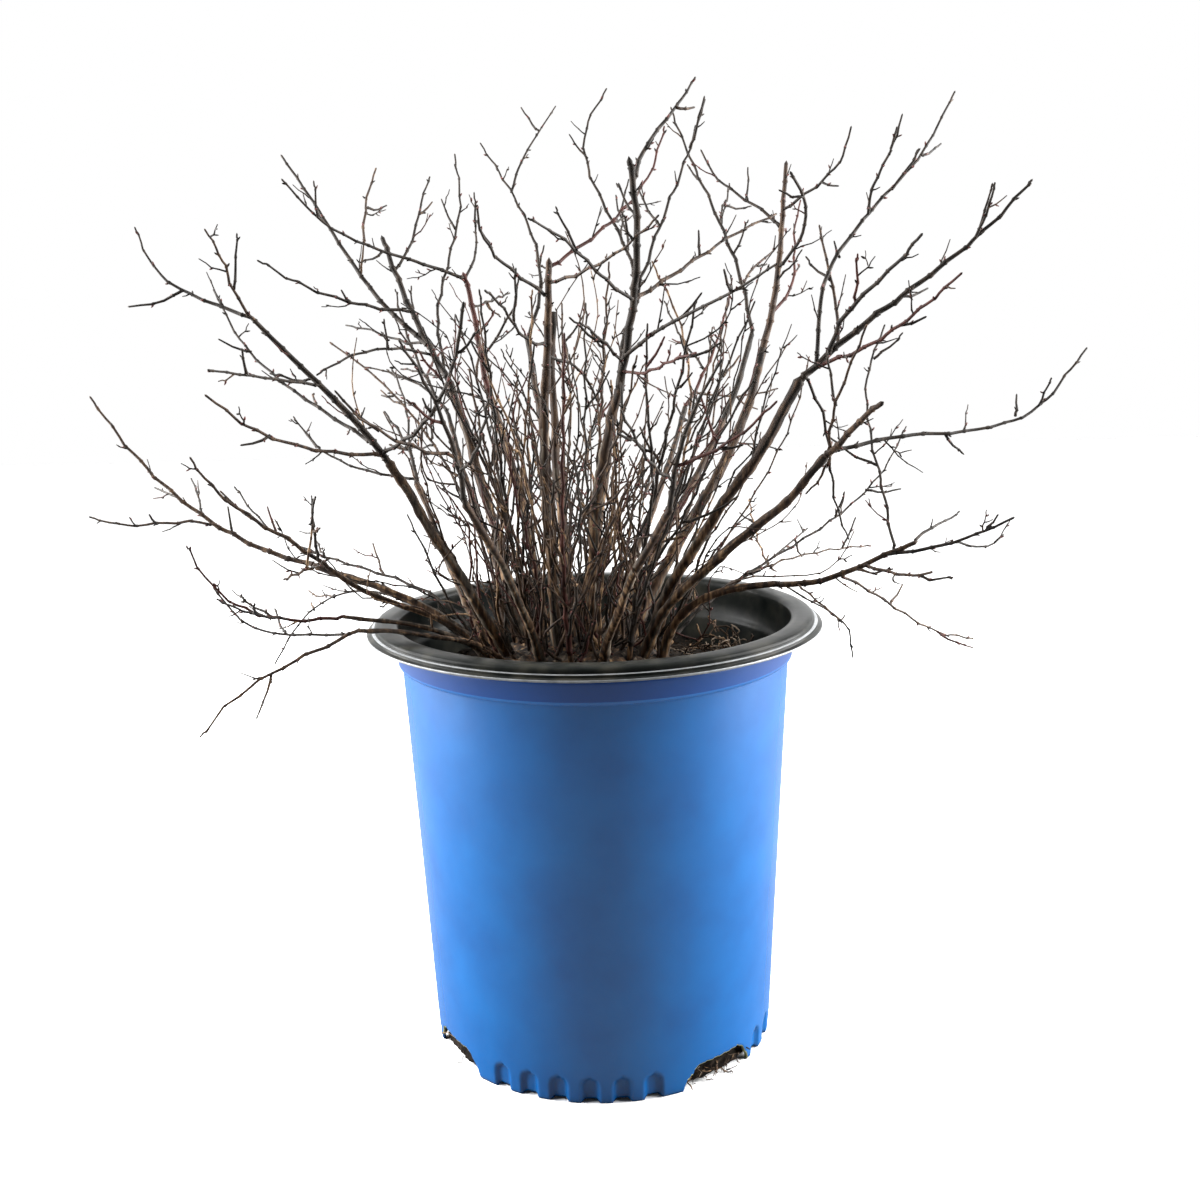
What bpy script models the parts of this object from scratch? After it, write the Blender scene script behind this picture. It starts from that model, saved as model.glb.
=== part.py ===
"""A spirea in winter, bare of leaves, in a round nursery pot.

The pot, the potting mix and the woody crown stand on each other. The main
stems leave the crown one by one, and each of them carries a mass of twigs.
All sizes are in millimetres and are turned into metres as the meshes are made.
X runs to the right, Y to the back, Z up, from the middle of the pot's foot.
"""
import math
import random
from collections import namedtuple

import bmesh
import bpy
import numpy as np
from mathutils import Vector

MM = 0.001
GAP = 0.3

POT_FOOT_RADIUS = 90.2
POT_WALL_FLARE = 0.0484
POT_WALL = 1.4
POT_FLOOR = 2.0
POT_STEP_HEIGHT = 207.0
POT_STEP = 1.8
POT_LIP_HEIGHT = 227.4
POT_LIP_RADIUS = 117.5
POT_COLUMNS = 72

DENT_DEPTH = 2.0
DENT_LOW = 3.0
DENT_HIGH = 13.5
DENT_PITCH = 10
DENT_GROUPS = ((-35, 6), (60, 5), (145, 6), (240, 5))
DENT_AZIMUTHS = [first + DENT_PITCH * k for first, count in DENT_GROUPS for k in range(count)]
DENT_RUN_OUT = 3.0
NOTCH_AZIMUTHS = (40, -60, 220, 120)
NOTCH_HALF_ANGLE = 14.0
NOTCH_HEIGHT = 13.0
NOTCH_INNER_RADIUS = 85.0
NOTCH_OUTER_RADIUS = 96.0

SOIL_EDGE = 192.0
SOIL_MIDDLE = 199.0
SOIL_COLUMNS = 36
SOIL_RINGS = (1.0, 0.88, 0.72, 0.55, 0.38)
SOIL_SHRINK = 0.6
CROWN_CENTRE = (-10.0, 0.0)
CROWN_HALF = (50.0, 36.0)
CROWN_HEIGHT = 11.0
CROWN_EDGE = 2.0
CROWN_COLUMNS = 24
CROWN_RINGS = (1.0, 0.93, 0.75, 0.45)
FOOT_SINK = 2.5
STUB_LENGTH = 9.0
SLIM_RADIUS = 1.9
SLIM_LEADER = 1.5
FOOT_FLARE = 0.35
FOOT_FLARE_LENGTH = 14.0

STEM_SIDES = 6
STEM_STEPS = 6
LEADER_STEPS = 6
SHOOT_STEPS = 4
LIMB_CLEARANCE = 0.35
CHECK_STEP = 1.5
SUNK_RADIUS = 0.45
STUB_ROLL = 0.3
TWIG_ROLL = 0.7
TWIG_SPACING = 39.0
TWIG_ZONE = (0.22, 0.92)
TWIG_LENGTHS = (10.0, 36.0)
TWIG_SHORTENING = 0.6
TWIG_WIDTHS = (1.5, 0.9)
TWIG_ANGLES = (30.0, 58.0)
TWIG_ELBOW = 0.45
TWIG_LIFT = 0.35
BUNDLE_ROOTS = (0.06, 0.36)
BUNDLE_REACH = (0.6, 1.0)
BUNDLE_RISE = (-110.0, 5.0)
BUNDLE_BOW = 4.0
BUNDLE_LEADER = ((3, 2), (2.4, 1.0))
BUNDLE_WIDTHS = (1.6, 0.9)
GOLDEN_ANGLE = 137.5
SEED = 7

# A stem runs from its foot on the crown to its tip. Its bows are how far it
# stands off the straight line at one and at two thirds of the way, and its
# widths are those at the foot and at the tip.
Stem = namedtuple("Stem", "name foot tip bows widths")
STEMS = (
    Stem("left_high", (-38, 9), (-74, 45, 345), (-2, -2), (5.4, 4.2)),
    Stem("left_arch", (-27, 17), (-54, 60, 336), (-4, -4), (5.0, 3.6)),
    Stem("left_main", (-44, -9), (-95, -50, 313), (0, 0), (5.2, 4.2)),
    Stem("left_inner", (-48, 4), (-96, 55, 290), (6, 3), (3.6, 2.8)),
    Stem("left_long", (-56, -2), (-144, 8, 254), (-9, -6), (4.0, 3.2)),
    Stem("left_under", (-54, -13), (-128, -43, 262), (-8, -2), (3.2, 2.4)),
    Stem("left_low", (-48, -18), (-121, -52, 240), (-8, -6), (2.6, 2.0)),
    Stem("left_droop", (-41, -24), (-111, -70, 237), (-8, -6), (2.6, 2.0)),
    Stem("middle_left", (-19, -5), (-20, -25, 354), (2, 3), (5.4, 4.2)),
    Stem("middle_right", (-12, 6), (-17, 18, 381), (2, 3), (4.4, 3.2)),
    Stem("middle_tall", (-2, -14), (14, -60, 345), (4, 5), (5.0, 4.2)),
    Stem("right_tall", (16, 8), (95, 60, 358), (-3, -7), (5.6, 4.7)),
    Stem("right_pair", (11, 18), (95, 110, 365), (-1, -5), (4.0, 3.0)),
    Stem("right_wide", (26, -4), (99, -46, 346), (5, 1), (5.6, 4.7)),
    Stem("right_out", (24, -14), (108, -68, 313), (8, 2), (4.6, 3.8)),
    Stem("right_low", (34, -11), (91, -24, 245), (14, 12), (4.4, 3.4)),
    Stem("back_left", (-22, 26), (-35, 120, 365), (-5, -4), (4.0, 2.8)),
    Stem("back_middle", (-6, 24), (22, 110, 369), (0, 0), (4.0, 2.8)),
    Stem("back_far_left", (-35, 23), (-84, 128, 322), (3, 3), (4.0, 2.8)),
    Stem("back_far_right", (1, 30), (58, 138, 322), (-3, -3), (4.0, 2.8)),
    Stem("front_left", (-27, -24), (-55, -104, 300), (-3, -3), (4.2, 3.0)),
    Stem("front_right", (3, -27), (34, -108, 296), (3, 3), (4.2, 3.0)),
)

# Each mass is listed shoot by shoot. The first shoot goes on from the stem of
# the same name, or grows from a foot on the crown where there is no such stem.
# The others leave the shoot whose place in the list is given, at that share
# of its length.
Shoot = namedtuple("Shoot", "leaves share tip bows widths")
MASSES = {
    "left_high": (
        Shoot(None, 1.0, (-110, 75, 422), (2, 2), (3.6, 2.6)),
        Shoot(0, 0.25, (-169, 110, 470), (6, 3), (2.8, 1.2)),
        Shoot(0, 0.78, (-87, 115, 457), (-3, -1), (1.8, 1.0)),
        Shoot(0, 0.05, (-74, 135, 471), (5, -3), (1.8, 1.0)),
        Shoot(0, 0.50, (-166, 20, 410), (5, 5), (1.8, 1.0)),
        Shoot(0, 0.28, (-136, 95, 376), (2, 0), (1.6, 1.0)),
        Shoot(0, 0.19, (-136, 0, 353), (-7, -7), (1.6, 1.0)),
        Shoot(0, 0.05, (-109, 115, 350), (1, 0), (1.4, 1.0)),
    ),
    "left_arch": (
        Shoot(None, 1.0, (-68, 90, 402), (0, -1), (3.2, 2.6)),
        Shoot(0, 0.97, (-153, 30, 450), (6, 10), (2.0, 1.0)),
        Shoot(1, 0.53, (-115, 100, 461), (2, 2), (1.6, 1.0)),
        Shoot(0, 0.97, (-63, 135, 444), (-4, -2), (1.6, 1.0)),
        Shoot(0, 0.28, (-36, 60, 400), (-2, -4), (1.6, 1.0)),
        Shoot(0, 0.72, (-46, 150, 392), (0, 0), (1.4, 1.0)),
    ),
    "left_main": (
        Shoot(None, 1.0, (-152, -62, 382), (-2, -1), (3.4, 2.0)),
        Shoot(0, 1.00, (-208, -40, 424), (7, 10), (1.8, 0.9)),
        Shoot(0, 0.97, (-160, -100, 419), (2, 0), (1.6, 0.9)),
        Shoot(0, 0.53, (-154, -135, 362), (0, 0), (1.6, 1.0)),
        Shoot(0, 0.12, (-187, 10, 396), (7, 10), (2.0, 0.9)),
        Shoot(0, 0.05, (-160, -120, 351), (7, 8), (2.0, 1.0)),
        Shoot(0, 0.06, (-49, -140, 386), (-10, -9), (2.0, 1.4)),
    ),
    "left_inner": (
        Shoot(None, 1.0, (-117, 95, 327), (-4, -3), (2.4, 1.2)),
        Shoot(0, 0.05, (-167, 85, 326), (8, 10), (1.6, 1.0)),
        Shoot(0, 0.40, (-118, 140, 350), (-3, -3), (1.4, 1.0)),
    ),
    "left_long": (
        Shoot(None, 1.0, (-261, 30, 343), (14, 13), (2.8, 1.1)),
        Shoot(0, 0.38, (-244, -35, 289), (0, 3), (1.6, 0.9)),
        Shoot(0, 0.53, (-241, 60, 291), (0, 0), (1.2, 0.9)),
        Shoot(0, 0.44, (-222, 65, 295), (-1, -1), (1.2, 0.9)),
    ),
    "left_under": (
        Shoot(None, 1.0, (-180, -80, 321), (2, 5), (2.2, 1.0)),
        Shoot(0, 0.08, (-122, -95, 304), (1, 2), (1.6, 0.9)),
        Shoot(0, 0.05, (-134, -115, 271), (0, 0), (1.6, 1.0)),
    ),
    "left_low": (
        Shoot(None, 1.0, (-188, -70, 279), (14, 15), (1.8, 0.9)),
        Shoot(0, 0.30, (-165, -110, 262), (2, 2), (1.3, 0.9)),
    ),
    "left_droop": (
        Shoot(None, 1.0, (-176, -115, 201), (-4, -6), (1.9, 0.9)),
        Shoot(0, 0.05, (-184, -45, 254), (8, 12), (1.6, 0.9)),
    ),
    "left_slim": (
        Shoot(None, 0.0, (-151, 125, 366), (-19, -20), (2.0, 1.0)),
        Shoot(0, 0.55, (-120, 130, 305), (2, 2), (1.3, 0.9)),
    ),
    "left_wavy": (
        Shoot(None, 0.0, (-206, 95, 286), (-8, 7), (2.0, 0.9)),
        Shoot(0, 0.60, (-170, 130, 262), (2, 2), (1.3, 0.9)),
    ),
    "left_thread": (
        Shoot(None, 0.0, (-182, 60, 189), (-34, -37), (1.6, 0.9)),
        Shoot(0, 0.60, (-165, 84, 226), (0, 2), (1.2, 0.9)),
    ),
    "middle_left": (
        Shoot(None, 1.0, (-17, -40, 404), (0, 0), (4.0, 3.0)),
        Shoot(0, 0.69, (-46, -95, 427), (5, 7), (1.8, 1.0)),
        Shoot(0, 0.12, (10, 45, 323), (7, 4), (1.6, 1.0)),
        Shoot(0, 0.22, (-42, -115, 391), (4, 1), (1.6, 1.0)),
        Shoot(0, 0.81, (31, -105, 420), (-4, -4), (1.6, 1.0)),
        Shoot(0, 0.95, (41, 20, 470), (-8, -10), (1.8, 1.0)),
    ),
    "middle_tall": (
        Shoot(None, 1.0, (20, -85, 444), (-4, -5), (3.8, 2.8)),
        Shoot(0, 0.91, (52, -40, 484), (3, 1), (2.2, 1.0)),
        Shoot(0, 0.41, (93, -10, 425), (1, 2), (2.0, 1.0)),
        Shoot(0, 0.16, (74, -155, 398), (2, 0), (2.0, 1.0)),
        Shoot(0, 0.12, (-3, -115, 377), (-1, -1), (1.6, 1.0)),
        Shoot(0, 0.41, (-22, -140, 418), (0, -2), (1.8, 1.0)),
        Shoot(0, 0.28, (58, -20, 477), (2, 0), (1.8, 0.9)),
        Shoot(0, 0.09, (42, -160, 365), (-3, -1), (1.5, 1.0)),
    ),
    "right_tall": (
        Shoot(None, 1.0, (111, 85, 457), (-3, -2), (3.8, 2.2)),
        Shoot(0, 0.66, (67, 115, 468), (2, 5), (2.0, 1.0)),
        Shoot(0, 0.75, (138, 40, 470), (-5, -7), (1.8, 1.0)),
        Shoot(0, 0.44, (105, 25, 447), (-10, -10), (2.0, 1.5)),
        Shoot(0, 0.19, (125, 125, 440), (-7, -2), (1.8, 1.0)),
    ),
    "right_pair": (
        Shoot(None, 1.0, (53, 160, 497), (-5, -2), (2.4, 1.1)),
        Shoot(0, 0.20, (120, 165, 420), (2, 0), (1.6, 1.0)),
        Shoot(0, 0.45, (90, 185, 455), (2, 0), (1.5, 1.0)),
    ),
    "right_wide": (
        Shoot(None, 1.0, (201, -60, 434), (0, -3), (3.4, 1.2)),
        Shoot(0, 0.75, (176, -90, 431), (-1, -1), (1.5, 0.9)),
        Shoot(0, 0.14, (137, -125, 409), (5, 2), (2.4, 1.2)),
        Shoot(0, 0.18, (114, -10, 419), (-2, -1), (1.8, 1.0)),
        Shoot(0, 0.08, (187, 25, 484), (15, 4), (2.2, 1.0)),
        Shoot(4, 0.50, (140, -60, 458), (2, 0), (1.6, 1.0)),
        Shoot(0, 0.08, (151, -135, 393), (-5, -4), (2.0, 1.0)),
        Shoot(0, 0.03, (134, 10, 261), (3, -1), (1.6, 1.0)),
    ),
    "right_out": (
        Shoot(None, 1.0, (125, -110, 340), (0, 1), (3.2, 2.2)),
        Shoot(0, 0.10, (240, -30, 358), (-9, -19), (2.2, 1.0)),
        Shoot(1, 0.75, (213, -62, 346), (0, 0), (1.2, 0.9)),
        Shoot(0, 0.05, (117, -115, 373), (3, 2), (1.6, 1.0)),
    ),
    "right_low": (
        Shoot(None, 1.0, (157, -40, 267), (-5, -3), (3.2, 2.2)),
        Shoot(0, 1.00, (185, -15, 278), (2, 0), (1.6, 0.9)),
        Shoot(0, 0.80, (197, -65, 282), (-3, -3), (2.0, 1.2)),
        Shoot(2, 0.44, (203, -30, 268), (-1, -5), (1.3, 0.9)),
        Shoot(0, 0.62, (152, -95, 263), (-2, -3), (1.8, 1.2)),
        Shoot(0, 0.45, (205, 25, 202), (-2, -5), (1.6, 1.0)),
        Shoot(0, 0.85, (155, 30, 370), (6, 11), (1.6, 1.0)),
        Shoot(0, 0.15, (113, -80, 239), (0, 0), (1.2, 0.9)),
        Shoot(0, 0.05, (137, 10, 197), (5, 9), (1.2, 0.9)),
    ),
    "right_slim": (
        Shoot(None, 0.0, (182, 95, 311), (0, -11), (1.8, 0.9)),
        Shoot(0, 0.38, (128, 110, 251), (0, 0), (1.2, 0.9)),
    ),
    "right_thread": (
        Shoot(None, 0.0, (170, 130, 236), (15, 13), (1.6, 0.9)),
        Shoot(0, 0.50, (100, 165, 262), (2, 2), (1.2, 0.9)),
    ),
    "middle_slim": (
        Shoot(None, 0.0, (36, 65, 406), (-22, -28), (2.0, 1.0)),
        Shoot(0, 0.50, (70, 20, 372), (-4, -2), (1.3, 0.9)),
    ),
    "middle_thread": (
        Shoot(None, 0.0, (84, 140, 386), (-10, -10), (1.8, 0.9)),
        Shoot(0, 0.55, (110, 90, 300), (2, 2), (1.2, 0.9)),
    ),
    "back_left": (
        Shoot(None, 1.0, (-61, 165, 480), (-17, -13), (2.4, 1.0)),
        Shoot(0, 0.72, (-16, 195, 504), (3, 2), (1.6, 0.9)),
        Shoot(0, 0.20, (-30, 190, 420), (-2, 0), (1.5, 1.0)),
    ),
    "back_middle": (
        Shoot(None, 1.0, (15, 155, 508), (-4, 14), (2.4, 1.0)),
        Shoot(0, 0.30, (20, 190, 450), (-2, 0), (1.6, 1.0)),
        Shoot(0, 0.10, (30, 175, 400), (-2, -3), (1.5, 1.0)),
    ),
    "back_far_left": (
        Shoot(None, 1.0, (-118, 176, 396), (4, 4), (2.4, 1.0)),
        Shoot(0, 0.30, (-90, 200, 360), (2, 2), (1.6, 1.0)),
        Shoot(0, 0.15, (-138, 160, 350), (-3, -3), (1.5, 1.0)),
    ),
    "back_far_right": (
        Shoot(None, 1.0, (92, 190, 398), (-4, -4), (2.4, 1.0)),
        Shoot(0, 0.30, (50, 205, 385), (2, 2), (1.6, 1.0)),
        Shoot(0, 0.12, (118, 170, 330), (-3, -3), (1.5, 1.0)),
    ),
    "front_left": (
        Shoot(None, 1.0, (-74, -150, 372), (-4, -4), (2.6, 1.0)),
        Shoot(0, 0.30, (-92, -160, 345), (3, 3), (1.6, 1.0)),
        Shoot(0, 0.20, (-38, -175, 350), (-3, -2), (1.6, 1.0)),
    ),
    "front_right": (
        Shoot(None, 1.0, (52, -160, 362), (4, 4), (2.6, 1.0)),
        Shoot(0, 0.30, (74, -155, 345), (-3, -3), (1.6, 1.0)),
        Shoot(0, 0.20, (12, -180, 345), (3, 2), (1.6, 1.0)),
    ),
}

# A mass with no stem grows straight from the crown.
FEET = {
    "left_slim": (-46, 14),
    "left_wavy": (-54, 9),
    "left_thread": (-57, 4.5),
    "right_slim": (35, 5),
    "right_thread": (31, 14),
    "middle_slim": (8, -3),
    "middle_thread": (20, 17),
}

# A bundle is a mass of slim shoots that fan out from one short stem.
Bundle = namedtuple("Bundle", "name foot tip shoots spread")
BUNDLES = (
    Bundle("bundle_left", (-31, -13), (-50, -40, 392), 6, 46),
    Bundle("bundle_front", (-12, -30), (-10, -92, 372), 6, 46),
    Bundle("bundle_right", (17, -20), (50, -62, 385), 6, 46),
    Bundle("bundle_back", (-10, 33), (-14, 104, 385), 5, 46),
    Bundle("bundle_middle", (2, 8), (12, 24, 405), 6, 42),
)

BARK = (0.27, 0.19, 0.12)
TWIG_BARK = (0.16, 0.11, 0.07)
POT_BLUE = (0.16, 0.33, 0.66)
POTTING_MIX = (0.06, 0.04, 0.03)


def clear_scene():
    for item in list(bpy.data.objects):
        bpy.data.objects.remove(item, do_unlink=True)


def material(name, colour, roughness):
    finish = bpy.data.materials.new(name)
    finish.use_nodes = True
    shader = finish.node_tree.nodes["Principled BSDF"]
    shader.inputs["Base Color"].default_value = (*colour, 1)
    shader.inputs["Roughness"].default_value = roughness
    shader.inputs["Metallic"].default_value = 0
    return finish


def mesh_object(name, points, faces, finish=None, collection=None):
    """An object from points in millimetres, with its faces turned outwards."""
    mesh = bpy.data.meshes.new(name)
    mesh.from_pydata([Vector(point) * MM for point in points], [], faces)
    shape = bmesh.new()
    shape.from_mesh(mesh)
    bmesh.ops.recalc_face_normals(shape, faces=shape.faces)
    shape.to_mesh(mesh)
    shape.free()
    item = bpy.data.objects.new(name, mesh)
    (collection or bpy.context.scene.collection).objects.link(item)
    if finish:
        mesh.materials.append(finish)
    return item


def apply_modifiers(item):
    graph = bpy.context.evaluated_depsgraph_get()
    mesh = bpy.data.meshes.new_from_object(item.evaluated_get(graph))
    item.modifiers.clear()
    item.data = mesh


def around(radius, azimuth, height):
    """A point at an azimuth counted from the front towards the right."""
    turn = math.radians(azimuth)
    return (radius * math.sin(turn), -radius * math.cos(turn), height)


def wall_radius(height):
    return POT_FOOT_RADIUS + POT_WALL_FLARE * height


def pot_outline():
    """The pot's section above its dents.

    It runs from the step in the wall under and over the rolled lip, past the
    step inside and down to the corner of the floor.
    """
    step_radius = wall_radius(POT_STEP_HEIGHT)
    top = POT_LIP_HEIGHT
    return (
        (step_radius, POT_STEP_HEIGHT),
        (step_radius + POT_STEP, POT_STEP_HEIGHT + 1.2),
        (104.4, top - 5.6),
        (POT_LIP_RADIUS - 0.2, top - 5.8),
        (POT_LIP_RADIUS, top - 4.6),
        (114.8, top - 4.0),
        (114.2, top - 1.8),
        (112.0, top),
        (106.8, top),
        (104.0, top - 1.4),
        (102.4, top - 8.4),
        (step_radius + POT_STEP - POT_WALL, POT_STEP_HEIGHT - 0.4),
        (step_radius - POT_WALL, POT_STEP_HEIGHT - 1.6),
        (POT_FOOT_RADIUS - DENT_DEPTH - POT_WALL, POT_FLOOR),
    )


def dent(azimuth):
    """How far the foot is pressed in at an azimuth: all of it in the middle of a dent."""
    nearest = min(abs((azimuth - middle + 180) % 360 - 180) for middle in DENT_AZIMUTHS)
    return DENT_DEPTH if nearest < 1 else 0.0


def make_pot(finish):
    fine = 2 * POT_COLUMNS
    points = []
    rings = []

    def ring(columns, radius_of, height):
        start = len(points)
        for k in range(columns):
            azimuth = 360 * k / columns
            points.append(around(radius_of(azimuth), azimuth, height))
        rings.append(list(range(start, start + columns)))

    ring(fine, lambda a: POT_FOOT_RADIUS - 1.6 - 0.6 * dent(a), 0)
    ring(fine, lambda a: wall_radius(DENT_LOW) - dent(a), DENT_LOW)
    ring(fine, lambda a: wall_radius(DENT_HIGH) - dent(a), DENT_HIGH)
    ring(fine, lambda a: wall_radius(DENT_HIGH + DENT_RUN_OUT), DENT_HIGH + DENT_RUN_OUT)
    for radius, height in pot_outline():
        ring(POT_COLUMNS, lambda a: radius, height)
    faces = [rings[0], rings[-1]]
    for low, high in zip(rings, rings[1:]):
        split = len(low) // len(high)
        for k in range(len(high)):
            foot = [low[(split * k + j) % len(low)] for j in range(split + 1)]
            faces.append(foot + [high[(k + 1) % len(high)], high[k]])
    pot = mesh_object("pot", points, faces, finish)
    cut_notches(pot)
    pot.data.shade_smooth()
    pot.data.set_sharp_from_angle(angle=math.radians(30))
    return pot


def cut_notches(pot):
    """The drain notches at the foot, narrower above than below."""
    section = ((-2, 1.0), (3, 1.0), (NOTCH_HEIGHT - 3, 0.78), (NOTCH_HEIGHT, 0.55))
    for azimuth in NOTCH_AZIMUTHS:
        points = []
        for height, share in section:
            for radius in (NOTCH_INNER_RADIUS, NOTCH_OUTER_RADIUS):
                for side in (-1, 0, 1):
                    points.append(around(radius, azimuth + side * share * NOTCH_HALF_ANGLE, height))
        faces = [(0, 1, 4, 3), (1, 2, 5, 4), (18, 19, 22, 21), (19, 20, 23, 22)]
        for base in (0, 6, 12):
            for a, b in ((0, 1), (1, 2), (2, 5), (5, 4), (4, 3), (3, 0)):
                faces.append((base + a, base + b, base + b + 6, base + a + 6))
        cutter = mesh_object("notch_cutter", points, faces)
        cutter.hide_render = True
        cutter.display_type = "WIRE"
        cut = pot.modifiers.new("notch", "BOOLEAN")
        cut.operation = "DIFFERENCE"
        cut.solver = "EXACT"
        cut.object = cutter
        apply_modifiers(pot)
        bpy.data.objects.remove(cutter, do_unlink=True)


def from_crown(x, y):
    """How far a place is from the crown's middle, as a share of the crown's half size."""
    return math.hypot((x - CROWN_CENTRE[0]) / CROWN_HALF[0], (y - CROWN_CENTRE[1]) / CROWN_HALF[1])


def soil_height(x, y):
    """The mix is flat under the crown, and falls unevenly towards the wall."""
    fall = min(max((from_crown(x, y) - 1.15) / 1.2, 0), 1)
    lumps = 1.6 * math.sin(0.11 * x + 0.7) * math.cos(0.13 * y) + 1.0 * math.sin(0.23 * x + 0.19 * y)
    return SOIL_MIDDLE + (SOIL_EDGE - SOIL_MIDDLE + lumps) * fall


def mound_faces(columns, rings):
    """The faces of a mound: a flat underside, rings of four-sided faces and a fan at the top."""
    faces = [list(range(columns))]
    for row in range(rings):
        for k in range(columns):
            here, beside = row * columns + k, row * columns + (k + 1) % columns
            faces.append((here, beside, beside + columns, here + columns))
    inmost = rings * columns
    top = inmost + columns
    for k in range(columns):
        faces.append((inmost + k, inmost + (k + 1) % columns, top))
    return faces


def make_soil(finish):
    inner_foot = POT_FOOT_RADIUS - DENT_DEPTH - POT_WALL
    inner_top = wall_radius(POT_STEP_HEIGHT) - POT_WALL
    lean = (inner_top - inner_foot) / (POT_STEP_HEIGHT - 1.6 - POT_FLOOR)
    foot_height = POT_FLOOR + GAP
    foot_radius = inner_foot + lean * GAP - SOIL_SHRINK
    top_radius = inner_foot + lean * (SOIL_EDGE - POT_FLOOR) - 2 * SOIL_SHRINK
    points = [around(foot_radius, 360 * k / SOIL_COLUMNS, foot_height) for k in range(SOIL_COLUMNS)]
    for share in SOIL_RINGS:
        for k in range(SOIL_COLUMNS):
            x, y, _ = around(share * top_radius, 360 * k / SOIL_COLUMNS, 0)
            points.append((x, y, soil_height(x, y)))
    points.append((0, 0, soil_height(0, 0)))
    soil = mesh_object("potting_mix", points, mound_faces(SOIL_COLUMNS, len(SOIL_RINGS)), finish)
    soil.data.shade_smooth()
    return soil


def crown_height(x, y):
    """The top of the woody crown, a low lumpy mound on the mix."""
    lumps = 0.8 * math.sin(0.31 * x) * math.cos(0.27 * y)
    dome = (CROWN_HEIGHT + lumps) * math.sqrt(max(1 - from_crown(x, y) ** 2, 0))
    return SOIL_MIDDLE + GAP + CROWN_EDGE + dome


def off_chord(share, bows):
    """The curve through 0, the two bows at one and two thirds, and 0 again."""
    first = 13.5 * share * (share - 2 / 3) * (share - 1)
    second = -13.5 * share * (share - 1 / 3) * (share - 1)
    return first * bows[0] + second * bows[1]


def limb_path(start, end, bows, steps):
    start, end = Vector(start), Vector(end)
    chord = end - start
    side = Vector((-chord.z, 0, chord.x)).normalized()
    shares = [k / steps for k in range(steps + 1)]
    return [start + chord * share + side * off_chord(share, bows) for share in shares]


def path_length(path):
    return sum((b - a).length for a, b in zip(path, path[1:]))


def point_at(path, share):
    """The point and the direction at a share of a path's length."""
    left = share * path_length(path)
    for a, b in zip(path, path[1:]):
        step = (b - a).length
        if left <= step or b is path[-1]:
            return a + (b - a) * min(left / step, 1), (b - a).normalized()
        left -= step


def cut_path(path, start, end):
    """The stretch of a path between two lengths along it."""
    total = path_length(path)
    inside = []
    gone = 0.0
    for a, b in zip(path, path[1:]):
        gone += (b - a).length
        if start + 0.5 < gone < end - 0.5:
            inside.append(b)
    return [point_at(path, start / total)[0], *inside, point_at(path, end / total)[0]]


def across(direction):
    """Two directions square to the one given and to each other."""
    helper = Vector((0, 1, 0)) if abs(direction.y) < 0.9 else Vector((1, 0, 0))
    first = direction.cross(helper).normalized()
    return first, direction.cross(first).normalized()


def tube(name, path, radii, sides, finish=None, collection=None, roll=0.0, heading=None):
    """A tapering limb with flat ends, carried along its path without twist.

    Its first end is square to the heading, where one is given.
    """
    points, faces = [], []
    direction = (heading or path[1] - path[0]).normalized()
    first, second = across(direction)
    for k, (centre, radius) in enumerate(zip(path, radii)):
        ahead = path[min(k + 1, len(path) - 1)] - path[max(k - 1, 0)] if k else direction
        turn = direction.rotation_difference(ahead.normalized())
        direction, first, second = ahead.normalized(), turn @ first, turn @ second
        for j in range(sides):
            angle = roll + 2 * math.pi * j / sides
            points.append(centre + (first * math.cos(angle) + second * math.sin(angle)) * radius)
    for k in range(len(path) - 1):
        for j in range(sides):
            here, beside = k * sides + j, k * sides + (j + 1) % sides
            faces.append((here, beside, beside + sides, here + sides))
    faces.append(list(range(sides)))
    faces.append(list(range(len(points) - sides, len(points))))
    return mesh_object(name, points, faces, finish, collection)


def taper(widths, count):
    """Radii that change evenly from one width to another."""
    return [0.5 * (widths[0] + (widths[1] - widths[0]) * k / (count - 1)) for k in range(count)]


class Space:
    """The room that the limbs take, so that a new one can be kept clear of the others."""

    def __init__(self):
        self.starts, self.ends, self.radii, self.owners = [], [], [], []

    def add(self, owner, path, radii):
        for a, b, r, s in zip(path, path[1:], radii, radii[1:]):
            self.starts.append(tuple(a))
            self.ends.append(tuple(b))
            self.radii.append(max(r, s))
            self.owners.append(owner)

    def clearance(self, owners, path, radii):
        """The least free distance from a path to every limb of other owners."""
        other = np.array([owner not in owners for owner in self.owners], bool)
        if not other.any():
            return math.inf
        a = np.array(self.starts)[other]
        along = np.array(self.ends)[other] - a
        radius = np.array(self.radii)[other]
        square = (along ** 2).sum(1)
        least = math.inf
        samples = max(int(path_length(path) / CHECK_STEP), 2)
        for k in range(samples + 1):
            point = np.array(point_at(path, k / samples)[0])
            share = np.clip(((point - a) * along).sum(1) / square, 0, 1)
            away = np.linalg.norm(a + along * share[:, None] - point, axis=1) - radius
            least = min(least, away.min() - max(radii))
        return least


def pot_clearance(path, radius):
    """The least free distance from a path to the pot's wall and lip, and to the mix."""
    section = [np.array(point) for point in ((POT_FOOT_RADIUS, 0), *pot_outline())]
    inner_radius = section[-2][0]
    least = math.inf
    samples = max(int(path_length(path) / CHECK_STEP), 2)
    for k in range(samples + 1):
        point, _ = point_at(path, k / samples)
        here = np.array((math.hypot(point.x, point.y), point.z))
        for a, b in zip(section, section[1:]):
            share = np.clip(np.dot(here - a, b - a) / np.dot(b - a, b - a), 0, 1)
            least = min(least, float(np.linalg.norm(a + (b - a) * share - here)) - radius)
        if here[0] < inner_radius:
            least = min(least, point.z - soil_height(point.x, point.y) - radius)
    return least


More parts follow.
